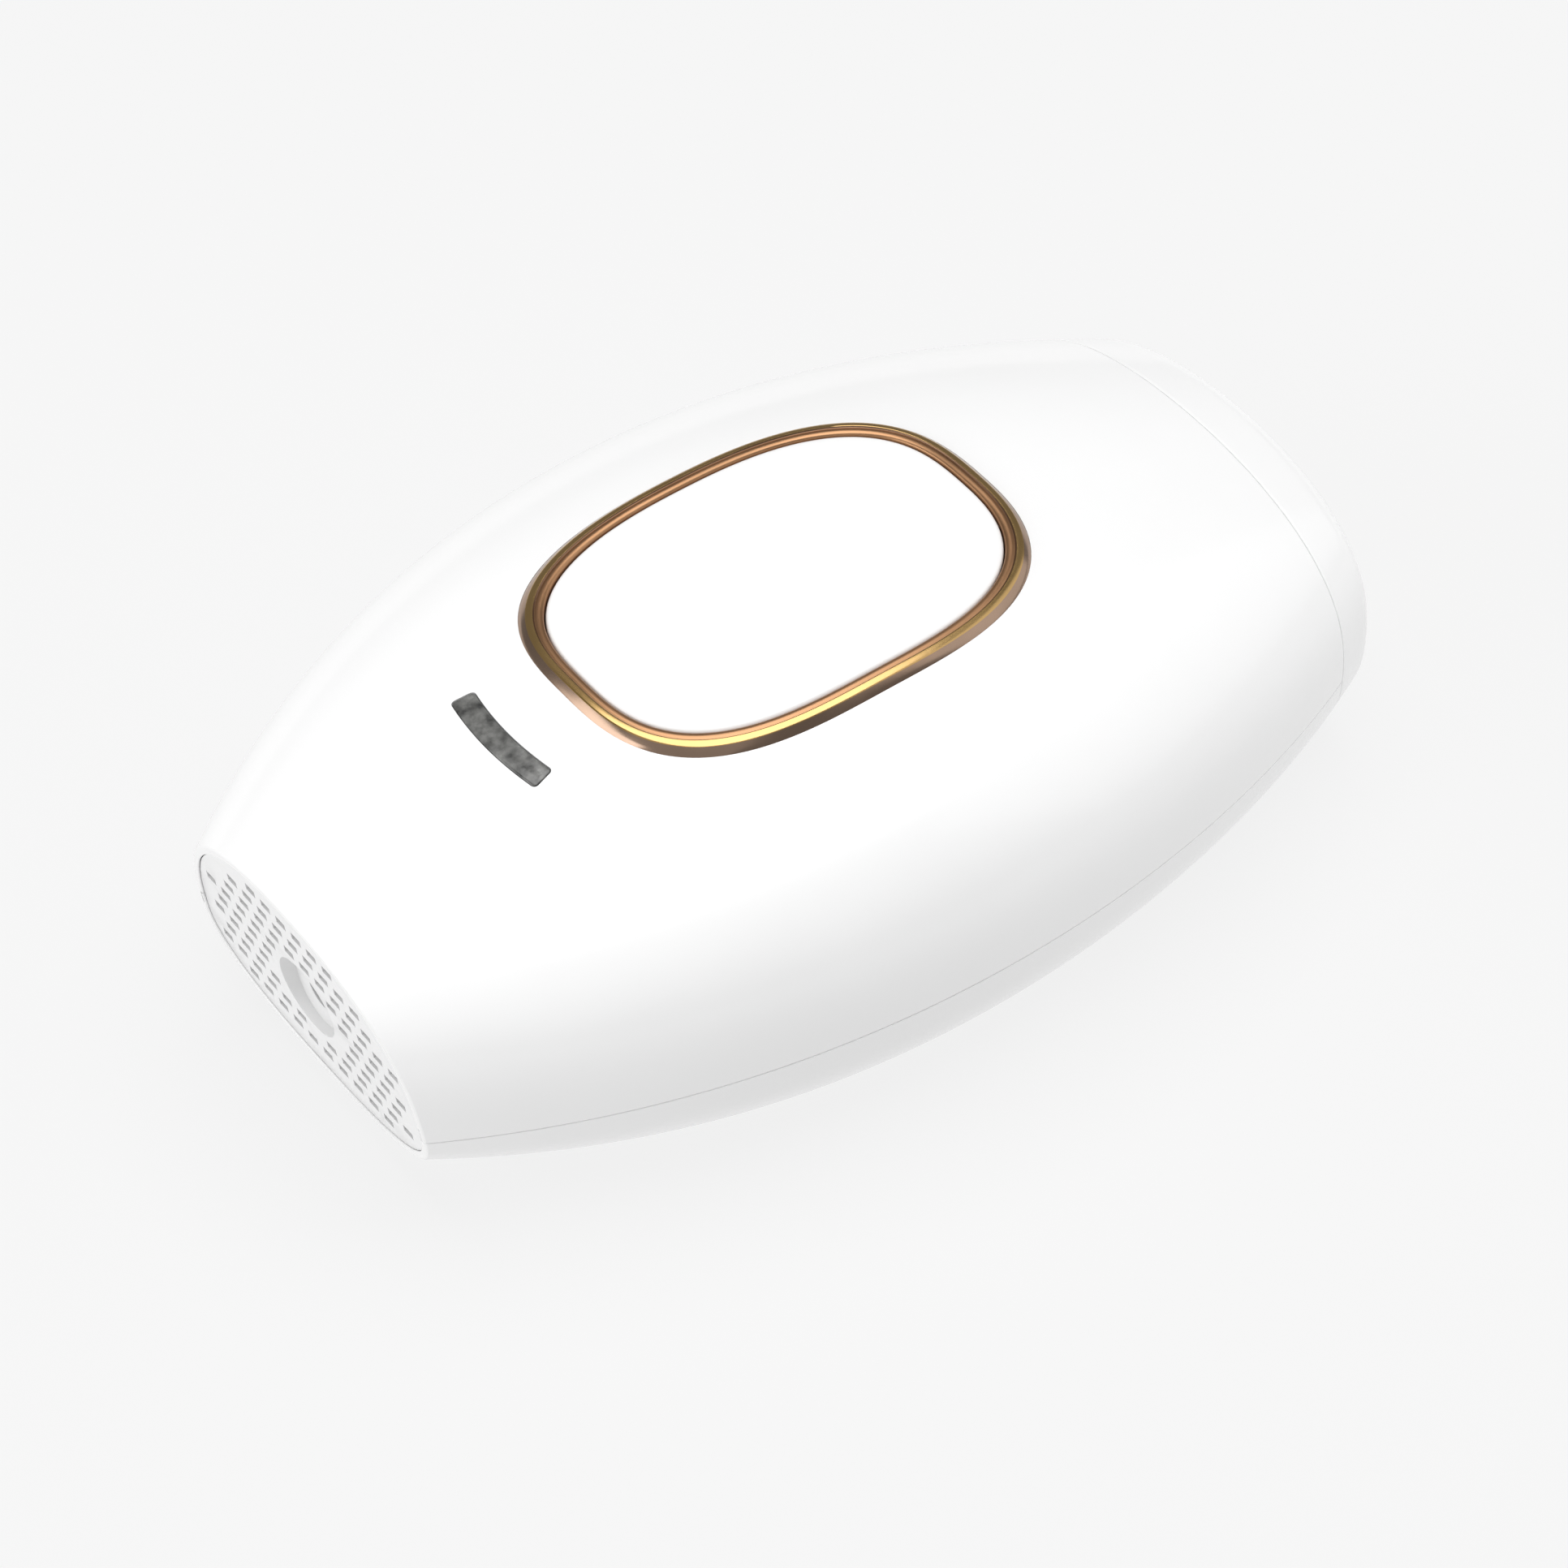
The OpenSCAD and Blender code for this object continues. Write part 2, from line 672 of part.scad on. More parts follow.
// Slot at y across and z up from the port: inside the rim's margin and clear of the port's sleeve
function slot_fits(y, z) = let (far = [abs(y) + slot_length / 2, abs(z) + slot_height / 2],
                                near = [max(0, abs(y) - slot_length / 2), abs(z) - slot_height / 2])
    grille_share(far.x, port_z + sign(z) * far.y, grille_margin) < 1 && norm(near) > port_d / 2 + sleeve_t;

// Places children, drawn with x across and y up, on the leaned plane of the grille
module on_grille() {
    translate([grille_x, 0, port_z]) rotate([0, -tail_lean, 0]) rotate([90, 0, 90]) children();
}

module grille_plate() {
    rise = 1 / cos(tail_lean);
    on_grille() difference() {
        linear_extrude(grille_t) polygon([for (i = [0:63])
            let (p = around(grille_u, 360 * i / 64, rim_t + grille_play)) [p.x, (p.y - port_z) * rise]]);
        for (row = [-6:6], column = [-7:7])
            let (y = (column + (row % 2 == 0 ? 0.5 : 0)) * column_pitch,
                 z = (row + 0.5) * row_pitch + row_lift)
            if (slot_fits(y, z)) translate([y - slot_length / 2, z - slot_height / 2, -1])
                cube([slot_length, slot_height, grille_t + 2]);
    }
}

// Cylinder along X at the port's height, from x on
module at_port(x, r, h, n = 48) {
    along_x(x) translate([0, port_z]) cylinder(r = r, h = h, $fn = n);
}

module rear_grille() {
    sleeve_x = grille_x + grille_t / 2;
    color(WHITE) difference() {
        union() {
            grille_plate();
            at_port(sleeve_x, port_d / 2 + sleeve_t, jack_x - sleeve_x, 64);
        }
        at_port(grille_x - 3, port_d / 2, port_depth + 3, 64);
        at_port(grille_x, jack_bore_d / 2, port_depth + 3);
    }
}

module jack_housing() {
    color(BLACK) difference() {
        translate([jack_x, -jack_size.y / 2, port_z - jack_size.z / 2]) cube(jack_size);
        at_port(jack_x - 1, jack_bore_d / 2, port_floor_x + jack_depth - jack_x + 1);
    }
}

module jack_pin() {
    color(STEEL) at_port(jack_pin_x, jack_pin_d / 2, port_floor_x + jack_depth - jack_pin_x, 32);
}

module fan_frame() {
    half = fan_side / 2;
    plate_x = fan_x + fan_t - fan_plate_t;
    hole = half - fan_hole_inset;
    color(BLACK) difference() {
        union() {
            difference() {
                translate([fan_x, -half, fan_z - half]) cube([fan_t, fan_side, fan_side]);
                at_port(fan_x - 1, fan_bore_r, fan_t + 2, 64);
            }
            at_port(plate_x, hub_r, fan_plate_t);
            translate([plate_x, 0, fan_z]) for (a = [45, 135]) rotate([a, 0, 0])
                translate([0, -1, -half]) cube([fan_plate_t, 2, fan_side]);
            at_port(fan_x + 2.5, bearing_r, fan_t - 3, 32);
        }
        at_port(fan_x + 1, shaft_r + shaft_play, shaft_l, 32);
        for (y = [-1, 1], z = [-1, 1])
            along_x(fan_x - 1) translate([y * hole, fan_z + z * hole])
                cylinder(r = fan_hole_r, h = fan_t + 2, $fn = 24);
    }
}

module fan_stator() {
    color(COPPER) difference() {
        at_port(stator_x, hub_r - hub_wall - stator_play, stator_depth);
        at_port(stator_x - 1, bearing_r, stator_depth + 2, 32);
    }
}

module fan_rotor() {
    color(DARK_GREY) {
        difference() {
            at_port(rotor_x, hub_r, rotor_depth);
            at_port(rotor_x + rotor_face, hub_r - hub_wall, rotor_depth);
            at_port(rotor_x - 1, shaft_r, 3, 32);
        }
        intersection() {
            difference() {
                at_port(rotor_x, rotor_r, rotor_depth - 0.4, 64);
                at_port(rotor_x - 1, hub_r - 0.4, rotor_depth + 2);
            }
            translate([rotor_x + rotor_depth / 2, 0, fan_z]) for (i = [0:blade_count - 1])
                rotate([360 * i / blade_count, 0, 0]) rotate([0, 0, blade_turn])
                    translate([-6, -0.5, hub_r - 0.2]) cube([12, 1, rotor_r]);
        }
    }
}

module fan_shaft() {
    color(STEEL) at_port(rotor_x, shaft_r, shaft_l, 32);
}

module main_capacitor() {
    half = capacitor_length / 2;
    color(SLEEVE_BLUE) translate([capacitor_x, 0, capacitor_z]) rotate([90, 0, 0]) difference() {
        union() {
            translate([0, 0, -half]) cylinder(r = capacitor_r, h = capacitor_length, $fn = 64);
            for (x = [-1, 1]) translate([x * capacitor_pins, 0, half]) cylinder(r = 0.6, h = 3, $fn = 24);
        }
        translate([0, 0, half - capacitor_groove])
            rotate_extrude($fn = 64) translate([capacitor_r, 0]) circle(r = 0.6, $fn = 24);
    }
}

module power_board() {
    color(GREEN) difference() {
        box_from([board_x[0], -board_half_y, board_z], [board_x[1], board_half_y, board_top]);
        for (x = board_posts_x) mirrored()
            translate([x, board_posts_y, board_z - 1]) cylinder(r = small_hole_r, h = 4, $fn = 24);
    }
}

module board_screws() {
    shank = small_screw_l - 0.4;
    color(STEEL) for (x = board_posts_x) mirrored() translate([x, board_posts_y, board_top]) {
        cylinder(r = board_head_r, h = board_head_h, $fn = 24);
        translate([0, 0, 0.6 - shank]) cylinder(r = small_screw_r, h = shank, $fn = 24);
    }
}

module transformer_core() {
    low = [transformer_low.x, transformer_low.y, board_top];
    window = [transformer_size.x - 2 * transformer_x, 5, 9];
    color(FERRITE) difference() {
        translate(low) cube(transformer_size);
        for (y = [-1, 1])
            translate([low.x + transformer_x, y * 4 - window.y / 2, board_top + 3.5]) cube(window);
    }
}

module transformer_winding() {
    z = board_top + transformer_size.z / 2;
    x = transformer_low.x + (transformer_size.x - winding_l) / 2;
    color(COPPER) difference() {
        translate([x, 0, z]) rotate([0, 90, 0]) scale([1, 1.45, 1])
            cylinder(r = winding_r, h = winding_l, $fn = 48);
        box_from([x - 1, -winding_slit, z - 4.6], [x + winding_l + 1, winding_slit, z + 4.6]);
    }
}

module power_switch() {
    color(BLACK) box_from([switch_x, -5, board_top], [sink_x, 5, board_top + 15]);
}

module heat_sink() {
    top = board_top + sink_h;
    color(ALUMINIUM) {
        box_from([sink_x, -sink_half_y, board_top], [sink_x + sink_t, sink_half_y, top]);
        for (i = [0:fin_count - 1]) let (y = fin_pitch * i - sink_half_y)
            box_from([sink_x + sink_t - 0.1, y, board_top], [fin_x, y + fin_t, top]);
    }
}

module trigger_coil() {
    color(TAPE) translate(coil_place) rotate([-90, 0, 0]) difference() {
        cylinder(r = coil_r, h = coil_l, $fn = 48);
        translate([0, 0, -1]) cylinder(r = coil_bore_r, h = coil_l + 2, $fn = 24);
    }
}

module filter_capacitors() {
    color(SLEEVE_BLUE) mirrored()
        translate([filter_place.x, filter_place.y, board_top]) cylinder(r = filter_r, h = filter_h, $fn = 48);
}

module lead_connectors() {
    color(CREAM) {
        mirrored() box_from([32, 5, board_top], [36, 9, board_top + 4]);
        box_from([-33.5, -4, board_top], [-30, 4, board_top + 3]);
        box_from([-33.6, 6.6, board_top], [-30.6, 11.4, board_top + 3]);
    }
}

module lamp_holder() {
    inner_y = holder_half_y - holder_side;
    color(CREAM) difference() {
        box_from([holder_x, -holder_half_y, holder_low_z], [glass_x, holder_half_y, holder_high_z]);
        box_from([holder_x + holder_back, -inner_y, holder_low_z + holder_shelf],
                 [glass_x + 1, inner_y, holder_high_z - holder_shelf]);
        translate([lamp_x, 0, window_z]) rotate([90, 0, 0])
            cylinder(r = electrode_r + 0.4, h = 60, center = true, $fn = 32);
    }
}

module reflector() {
    inner_r = reflector_r - reflector_t;
    color(MIRROR) translate([reflector_x, reflector_half_y, window_z]) rotate([90, 0, 0])
        linear_extrude(2 * reflector_half_y) difference() {
            union() {
                circle(r = reflector_r, $fn = 64);
                translate([0, -reflector_r]) square([reflector_lip, 2 * reflector_r]);
            }
            circle(r = inner_r, $fn = 64);
            translate([0, -inner_r]) square([reflector_lip + 1, 2 * inner_r]);
        }
}

module flash_tube() {
    color(GLASS) translate([lamp_x, tube_half_y, window_z]) rotate([90, 0, 0])
        cylinder(d = tube_d, h = 2 * tube_half_y, $fn = 48);
}

module lamp_electrodes() {
    color(STEEL) mirrored() translate([lamp_x, tube_half_y, window_z]) rotate([-90, 0, 0])
        cylinder(r = electrode_r, h = electrode_end - tube_half_y, $fn = 32);
}

module filter_glass() {
    color(AMBER) translate([glass_x, 0, window_z]) rotate([90, 0, 90])
        rounded_plate(glass_size, 1.5, glass_t);
}

module window_frame() {
    color(STEEL) translate([frame_x, 0, window_z]) rotate([90, 0, 90]) difference() {
        union() {
            rounded_plate([window_w + 2, window_h + 2], frame_flange_r, frame_flange);
            rounded_plate([window_w - 2, window_h - 2], 3.2, head_x - frame_x - frame_setback);
        }
        translate([0, 0, -1]) rounded_plate([window_w - 2 * frame_band, window_h - 2 * frame_band], 1.6, 6);
    }
}

module lamp_leads() {
    out = electrode_end + 1.8;
    back = holder_x - 2.2;
    color(RED) mirrored() lead([
        [lamp_x, electrode_end + 0.1, window_z], [lamp_x, out, window_z], [back, out, window_z],
        [back, 7, window_z], [34, 7, window_z], [34, 7, board_top + 4.1]]);
}

module jack_leads() {
    start = jack_x + jack_size.x;
    down = fan_x - 1.8;
    low = 4.7;
    color(RED) mirrored() lead([
        [start + 0.3, 3, port_z - 2.5], [down, 3, port_z - 2.5], [down, 3, low + 2.3], [down, 3, low],
        [down + 2.9, 3, low], [-39, 3, low], [-36, 3, low],
        [-36, 2, board_top + 1.5], [-33.6, 2, board_top + 1.5]]);
}

module fan_leads() {
    low = board_top + 1.5;
    color(BLACK) for (y = [8, 10]) lead([
        [fan_x + fan_t + 0.1, y, low + 0.5], [-36.4, y, low + 0.5], [-36.4, y, low], [-33.7, y, low]], 0.6);
}

module board_ribbon() {
    outside = [[14.6, 37.4], [33, 37.4], [33, 24], [12.2, 9.8]];
    inside = [[12.2, 10.3], [32.5, 24.3], [32.5, 36.9], [14.6, 36.9]];
    color(RIBBON) rotate([90, 0, 0]) translate([0, 0, -16]) linear_extrude(4)
        polygon(concat(outside, inside));
}

module case_screws() {
    color(STEEL) for (c = case_places) mirrored() translate([c[0], c[1], 0]) {
        translate([0, 0, c[2] - screw_head_h]) cylinder(r = screw_head_r, h = screw_head_h, $fn = 32);
        translate([0, 0, c[2] - 1]) cylinder(r = screw_r, h = screw_end - c[2] + 1, $fn = 32);
    }
}

top_shell();
bottom_shell();
head_bezel();
trim_ring();
shot_button();
button_springs();
button_tray();
tray_screws();
control_board();
switch_body();
switch_plunger();
indicator_lens();
light_guide();
indicator_board();
indicator_leds();
rear_grille();
jack_housing();
jack_pin();
fan_frame();
fan_stator();
fan_rotor();
fan_shaft();
main_capacitor();
power_board();
board_screws();
transformer_core();
transformer_winding();
power_switch();
heat_sink();
trigger_coil();
filter_capacitors();
lead_connectors();
lamp_holder();
reflector();
flash_tube();
lamp_electrodes();
filter_glass();
window_frame();
lamp_leads();
jack_leads();
fan_leads();
board_ribbon();
case_screws();
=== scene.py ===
"""Looks of the pulsed-light hair remover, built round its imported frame.

Shapes are worked out in millimetres on the frame's axes and brought to metres when a mesh is made.
"""
import math

import bmesh
import bpy
import numpy as np
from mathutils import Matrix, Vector


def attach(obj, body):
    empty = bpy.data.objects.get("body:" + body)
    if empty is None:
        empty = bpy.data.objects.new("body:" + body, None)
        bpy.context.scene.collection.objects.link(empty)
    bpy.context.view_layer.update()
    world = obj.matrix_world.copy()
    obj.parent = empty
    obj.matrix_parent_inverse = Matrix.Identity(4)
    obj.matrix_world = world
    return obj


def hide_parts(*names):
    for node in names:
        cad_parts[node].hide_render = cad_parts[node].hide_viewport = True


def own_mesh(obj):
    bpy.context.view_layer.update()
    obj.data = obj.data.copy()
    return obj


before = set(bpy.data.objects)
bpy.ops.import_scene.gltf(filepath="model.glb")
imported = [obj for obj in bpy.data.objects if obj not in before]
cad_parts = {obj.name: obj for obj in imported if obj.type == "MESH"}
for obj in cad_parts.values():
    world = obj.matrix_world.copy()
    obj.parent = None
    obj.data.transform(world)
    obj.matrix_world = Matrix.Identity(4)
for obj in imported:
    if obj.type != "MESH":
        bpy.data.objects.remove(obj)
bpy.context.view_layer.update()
scene = bpy.context.scene
MM = 0.001

# ---------------------------------------------------------------- shape of the casing
# A station is a cross-section at a share u of the way from the leaning tail (0) to the flat head (1).

LENGTH, WIDTH, HEIGHT, WALL = 143.0, 92.7, 50.3, 2.2
HEAD_X = LENGTH / 2
# Half width, crown and seam at evenly spread stations, as shares of the size, then the keel in mm
PLAN = [0.511, 0.886, 1, 0.904, 0.608]
CROWN = [0.751, 0.938, 1, 0.937, 0.753]
SEAM = [0.336, 0.435, 0.342]
KEEL = [6.5, -1.2, -0.3, 1.3]
# Powers of the rounded sections, across and up; the roof's change from tail to head
ROOF_Y, ROOF_Z, BOWL = [2.3, 2.08], [2.5, 2.6], (2.6, 2.27)
LEAN = math.tan(math.radians(7.1))
TAIL_CROWN = HEIGHT * CROWN[0]
TAIL_SET_IN = 3.3                       # how far the tail has leaned in, low on the grille
SPAN = LENGTH - TAIL_SET_IN
BEZEL_LONG = 8.5
BEZEL_U = 1 - BEZEL_LONG / SPAN
RING_X, RING_A, RING_B, RING_POWER = -0.6, 30.9, 22.0, 2.82      # trim ring: middle, half axes, power
RING_FINE, RING_POINTS = 8001, 256
ROOF_GUESS, ROOF_REPEATS = 48.0, 6
FIELD_STEP, TINY = 0.02, 1e-9


def curve(values, t):
    """Smooth curve through evenly spread values, at a share t of the way."""
    n = len(values) - 1
    result = 0
    for i, v in enumerate(values):
        w = 1
        for j in range(n + 1):
            if j != i:
                w = w * (t * n - j) / (i - j)
        result = result + v * w
    return result


def spow(v, p):
    return np.sign(v) * np.abs(v) ** p


def half_width(u): return WIDTH / 2 * curve(PLAN, u)
def crown(u): return HEIGHT * curve(CROWN, u)
def seam(u): return HEIGHT * curve(SEAM, u)
def keel(u): return curve(KEEL, u)
def tail_x(z): return -LENGTH / 2 + (TAIL_CROWN - z) * LEAN
def station_x(u, z): return tail_x(z) + u * (HEAD_X - tail_x(z))
def share_at(x, z): return (x - tail_x(z)) / (HEAD_X - tail_x(z))


def arch(u, a, d, foot):
    """Upper section at angles a, drawn in by d, standing on the height foot."""
    return ((half_width(u) - d) * spow(np.cos(a), 2 / curve(ROOF_Y, u)),
            foot + (crown(u) - d - foot) * spow(np.sin(a), 2 / curve(ROOF_Z, u)))


def bowl(u, a, d, rim):
    """Lower section at angles a, drawn in by d, hanging from the height rim."""
    return ((half_width(u) - d) * spow(np.cos(a), 2 / BOWL[0]),
            np.maximum(d, rim - (rim - keel(u) - d) * spow(np.sin(a), 2 / BOWL[1])))


def roof_over(u, y):
    s = seam(u)
    inside = np.maximum(0, 1 - (np.abs(y) / half_width(u)) ** curve(ROOF_Y, u))
    return s + (crown(u) - s) * inside ** (1 / curve(ROOF_Z, u))


def roof(x, y):
    """Height of the casing's top; the station leans with the height, so it is found by repeats."""
    z = np.full(np.broadcast(x, y).shape, ROOF_GUESS)
    for _ in range(ROOF_REPEATS):
        z = roof_over(share_at(x, z), y)
    return z


def roof_field(x, y, z):
    """1 on the upper surface, less inside."""
    u = share_at(x, z)
    s = seam(u)
    return ((np.abs(y) / half_width(u)) ** curve(ROOF_Y, u)
            + np.maximum(0, (z - s) / (crown(u) - s)) ** curve(ROOF_Z, u))


def bowl_field(x, y, z):
    """1 on the lower surface, less inside."""
    u = share_at(x, z)
    s = seam(u)
    return (np.abs(y) / half_width(u)) ** BOWL[0] + np.maximum(0, (s - z) / (s - keel(u))) ** BOWL[1]


def field_normal(field, p):
    """Normals of a field at points p, and how far the points are from its surface."""
    x, y, z = p.T
    h = FIELD_STEP
    g = np.stack([field(x + h, y, z) - field(x - h, y, z), field(x, y + h, z) - field(x, y - h, z),
                  field(x, y, z + h) - field(x, y, z - h)], 1) / (2 * h)
    size = np.maximum(np.linalg.norm(g, axis=1), TINY)
    return g / size[:, None], np.abs(field(x, y, z) - 1) / size


def ring_point(a, d):
    """Point of the trim ring's outline at angle a, a depth d inside its outer edge."""
    return (RING_X + (RING_A - d) * spow(np.cos(a), 2 / RING_POWER),
            (RING_B - d) * spow(np.sin(a), 2 / RING_POWER))


def ring_angles():
    """Angles that space points evenly along the ring."""
    a = np.linspace(0, 2 * math.pi, RING_FINE)
    x, y = ring_point(a, 0)
    run = np.concatenate([[0], np.cumsum(np.hypot(np.diff(x), np.diff(y)))])
    return np.interp(np.linspace(0, run[-1], RING_POINTS, endpoint=False), run, a)


# ---------------------------------------------------------------- meshes

SHARP = 32                              # edges sharper than this many degrees are not smoothed
ON_SURFACE, SAME_WAY = 0.03, 0.9        # how near, and how much alike, a corner and the true surface are


def smooth(piece, angle=SHARP):
    piece.data.shade_smooth()
    piece.data.set_sharp_from_angle(angle=math.radians(angle))


def mesh_object(name, points, faces, angle=SHARP):
    mesh = bpy.data.meshes.new(name)
    mesh.from_pydata([tuple(float(c) * MM for c in p) for p in points], [], faces)
    work = bmesh.new()
    work.from_mesh(mesh)
    bmesh.ops.recalc_face_normals(work, faces=work.faces)
    work.to_mesh(mesh)
    work.free()
    piece = bpy.data.objects.new(name, mesh)
    scene.collection.objects.link(piece)
    smooth(piece, angle)
    return piece


def skin(rings, closed=False):
    """Quads between equal closed rings of points, given as an array (rings, points, 3)."""
    m, n = rings.shape[:2]
    faces = []
    for i in range(m if closed else m - 1):
        for j in range(n):
            a, b = i * n + j, i * n + (j + 1) % n
            c = ((i + 1) % m) * n
            faces.append((a, c + j, c + (j + 1) % n, b))
    return faces


def skinned_object(name, rings, closed=False, angle=SHARP):
    """Piece from rings of points: a closed loop of rings, or a run of rings with a face at each end."""
    rings = np.asarray(rings, float)
    m, n = rings.shape[:2]
    faces = skin(rings, closed)
    if not closed:
        faces += [tuple(range(n)), tuple(range((m - 1) * n, m * n))]
    return mesh_object(name, rings.reshape(-1, 3), faces, angle)


def prism(name, outline, low, high):
    points = [(x, y, low) for x, y in outline] + [(x, y, high) for x, y in outline]
    return skinned_object(name, np.array(points).reshape(2, len(outline), 3))


def turned(name, profile, x, y, n=64):
    """Upright turned piece from (radius, height) pairs."""
    a = np.linspace(0, 2 * math.pi, n, endpoint=False)
    rings = [np.stack([x + r * np.cos(a), y + r * np.sin(a), np.full(n, float(h))], 1) for r, h in profile]
    return skinned_object(name, rings)


def apply_changes(piece):
    graph = bpy.context.evaluated_depsgraph_get()
    mesh = bpy.data.meshes.new_from_object(piece.evaluated_get(graph))
    piece.modifiers.clear()
    piece.data = mesh


def cut(piece, *cutters):
    for cutter in cutters:
        change = piece.modifiers.new("cut", "BOOLEAN")
        change.operation = "DIFFERENCE"
        change.solver = "EXACT"
        change.object = cutter
    apply_changes(piece)
    for cutter in cutters:
        bpy.data.objects.remove(cutter)


def follow_field(piece, field):
    """Gives corners that lie on the true surface its normals, so that cuts leave the gloss smooth."""
    mesh = piece.data
    smooth(piece)
    co = np.array([v.co for v in mesh.vertices]).reshape(-1, 3) / MM
    normal, off = field_normal(field, co)
    count = len(mesh.loops)
    vertex = np.empty(count, np.int32)
    mesh.loops.foreach_get("vertex_index", vertex)
    face_normal = np.empty((count, 3))
    for face in mesh.polygons:
        face_normal[face.loop_start:face.loop_start + face.loop_total] = face.normal
    own = normal[vertex]
    good = (off[vertex] < ON_SURFACE) & ((own * face_normal).sum(1) > SAME_WAY)
    own[~good] = 0
    mesh.normals_split_custom_set([tuple(v) for v in own])


# ---------------------------------------------------------------- materials

COAT_ROUGH, CLOUD_DETAIL, GRAIN_DETAIL = 0.08, 4, 3
RAMP_LOW, RAMP_HIGH = 0.3, 0.7
GRAIN_DEPTH, SMOOTHEST = 0.0002, 0.02


def material(name, colour, rough=0.3, metallic=0.0, vary=0.03, rough_vary=0.05, grain=900, bump=0.02,
             cloud=60, alpha=1.0, coat=0.0):
    """Plastic, metal or glass with a cloudy change of colour and gloss and a fine moulded grain."""
    m = bpy.data.materials.new(name)
    m.use_nodes = True
    nodes, links = m.node_tree.nodes, m.node_tree.links
    shader = nodes["Principled BSDF"]
    shader.inputs["Metallic"].default_value = metallic
    shader.inputs["Coat Weight"].default_value = coat
    shader.inputs["Coat Roughness"].default_value = COAT_ROUGH
    shader.inputs["Alpha"].default_value = alpha
    place = nodes.new("ShaderNodeTexCoord")

    clouds = nodes.new("ShaderNodeTexNoise")
    clouds.inputs["Scale"].default_value = cloud
    clouds.inputs["Detail"].default_value = CLOUD_DETAIL
    links.new(place.outputs["Object"], clouds.inputs["Vector"])
    ramp = nodes.new("ShaderNodeValToRGB")
    low, high = ramp.color_ramp.elements
    low.position, high.position = RAMP_LOW, RAMP_HIGH
    low.color = (*[max(0, c * (1 - vary)) for c in colour], 1)
    high.color = (*[min(1, c * (1 + vary)) for c in colour], 1)
    links.new(clouds.outputs["Fac"], ramp.inputs["Fac"])
    links.new(ramp.outputs["Color"], shader.inputs["Base Color"])
    spread = nodes.new("ShaderNodeMapRange")
    spread.inputs["To Min"].default_value = max(SMOOTHEST, rough - rough_vary)
    spread.inputs["To Max"].default_value = min(1, rough + rough_vary)
    links.new(clouds.outputs["Fac"], spread.inputs["Value"])
    links.new(spread.outputs["Result"], shader.inputs["Roughness"])

    fine = nodes.new("ShaderNodeTexNoise")
    fine.inputs["Scale"].default_value = grain
    fine.inputs["Detail"].default_value = GRAIN_DETAIL
    links.new(place.outputs["Object"], fine.inputs["Vector"])
    lift = nodes.new("ShaderNodeBump")
    lift.inputs["Strength"].default_value = bump
    lift.inputs["Distance"].default_value = GRAIN_DEPTH
    links.new(fine.outputs["Fac"], lift.inputs["Height"])
    links.new(lift.outputs["Normal"], shader.inputs["Normal"])
    return m


def metal(name, colour, rough, **more):
    return material(name, colour, rough, metallic=1, **more)


def trim_metal(name, colour, rough, vary):
    return metal(name, colour, rough, vary=vary, rough_vary=0.04, bump=0.01, cloud=140)


WHITE = material("white_gloss", (0.90, 0.90, 0.90), 0.26, vary=0.006, rough_vary=0.03, bump=0.008, coat=0.25)
BUTTON = material("button_white", (0.93, 0.93, 0.93), 0.22, vary=0.006, rough_vary=0.03, bump=0.008, coat=0.3)
VENT = material("vent_white", (0.86, 0.86, 0.86), 0.34, vary=0.01, bump=0.02)
GOLD = trim_metal("rose_gold", (0.52, 0.34, 0.14), 0.2, 0.05)
# The ring's outer slope is painted a darker, browner copy of the ring's metal: a painted dark reflection.
SLOPE_PAINTED_REFLECTION = trim_metal("slope_painted_reflection", (0.38, 0.265, 0.195), 0.18, 0.08)
# The groove between crest and lip is painted dark: painted shade in the crease.
GROOVE_PAINTED_SHADE = trim_metal("groove_painted_shade", (0.22, 0.13, 0.08), 0.3, 0.1)
# The inner lip is painted a darker copper copy of the ring's metal: painted shade and a painted dim
# reflection.
LIP_PAINTED_SHADE = trim_metal("lip_painted_shade", (0.40, 0.22, 0.115), 0.34, 0.06)
SMOKE = material("smoked_lens", (0.115, 0.115, 0.11), 0.24, vary=0.75, rough_vary=0.12, bump=0.25,
                 cloud=620, coat=0.4)
STEEL = metal("zinc_steel", (0.62, 0.63, 0.65), 0.32, vary=0.06, bump=0.05)
FRAME_STEEL = metal("satin_steel", (0.74, 0.74, 0.76), 0.28, vary=0.04, bump=0.03)
BLACK = material("black_plastic", (0.025, 0.025, 0.027), 0.45, vary=0.15, bump=0.08)
FAN_BLACK = material("fan_plastic", (0.045, 0.045, 0.05), 0.38, vary=0.15, bump=0.05)
GREY = material("grey_plastic", (0.72, 0.72, 0.70), 0.5, vary=0.03, bump=0.08)
CREAM = material("cream_plastic", (0.80, 0.78, 0.68), 0.45, vary=0.03, bump=0.05)
BROWN = material("brown_plastic", (0.10, 0.05, 0.03), 0.4, vary=0.1, bump=0.05)
BOARD = material("solder_mask", (0.02, 0.13, 0.06), 0.33, vary=0.25, bump=0.1, cloud=300, coat=0.4)
LED = material("led_resin", (0.85, 0.83, 0.62), 0.2, vary=0.04)
GUIDE = material("milky_guide", (0.86, 0.88, 0.9), 0.35, vary=0.03, alpha=0.85)
COPPER = metal("enamelled_copper", (0.62, 0.25, 0.09), 0.28, vary=0.15, grain=2600, bump=0.35)
FERRITE = material("ferrite", (0.055, 0.055, 0.06), 0.6, vary=0.2, bump=0.25)
SLEEVE = material("capacitor_sleeve", (0.02, 0.03, 0.075), 0.25, vary=0.1, bump=0.03, coat=0.4)
ALUMINIUM = metal("plain_aluminium", (0.72, 0.73, 0.74), 0.35, vary=0.05, bump=0.08)
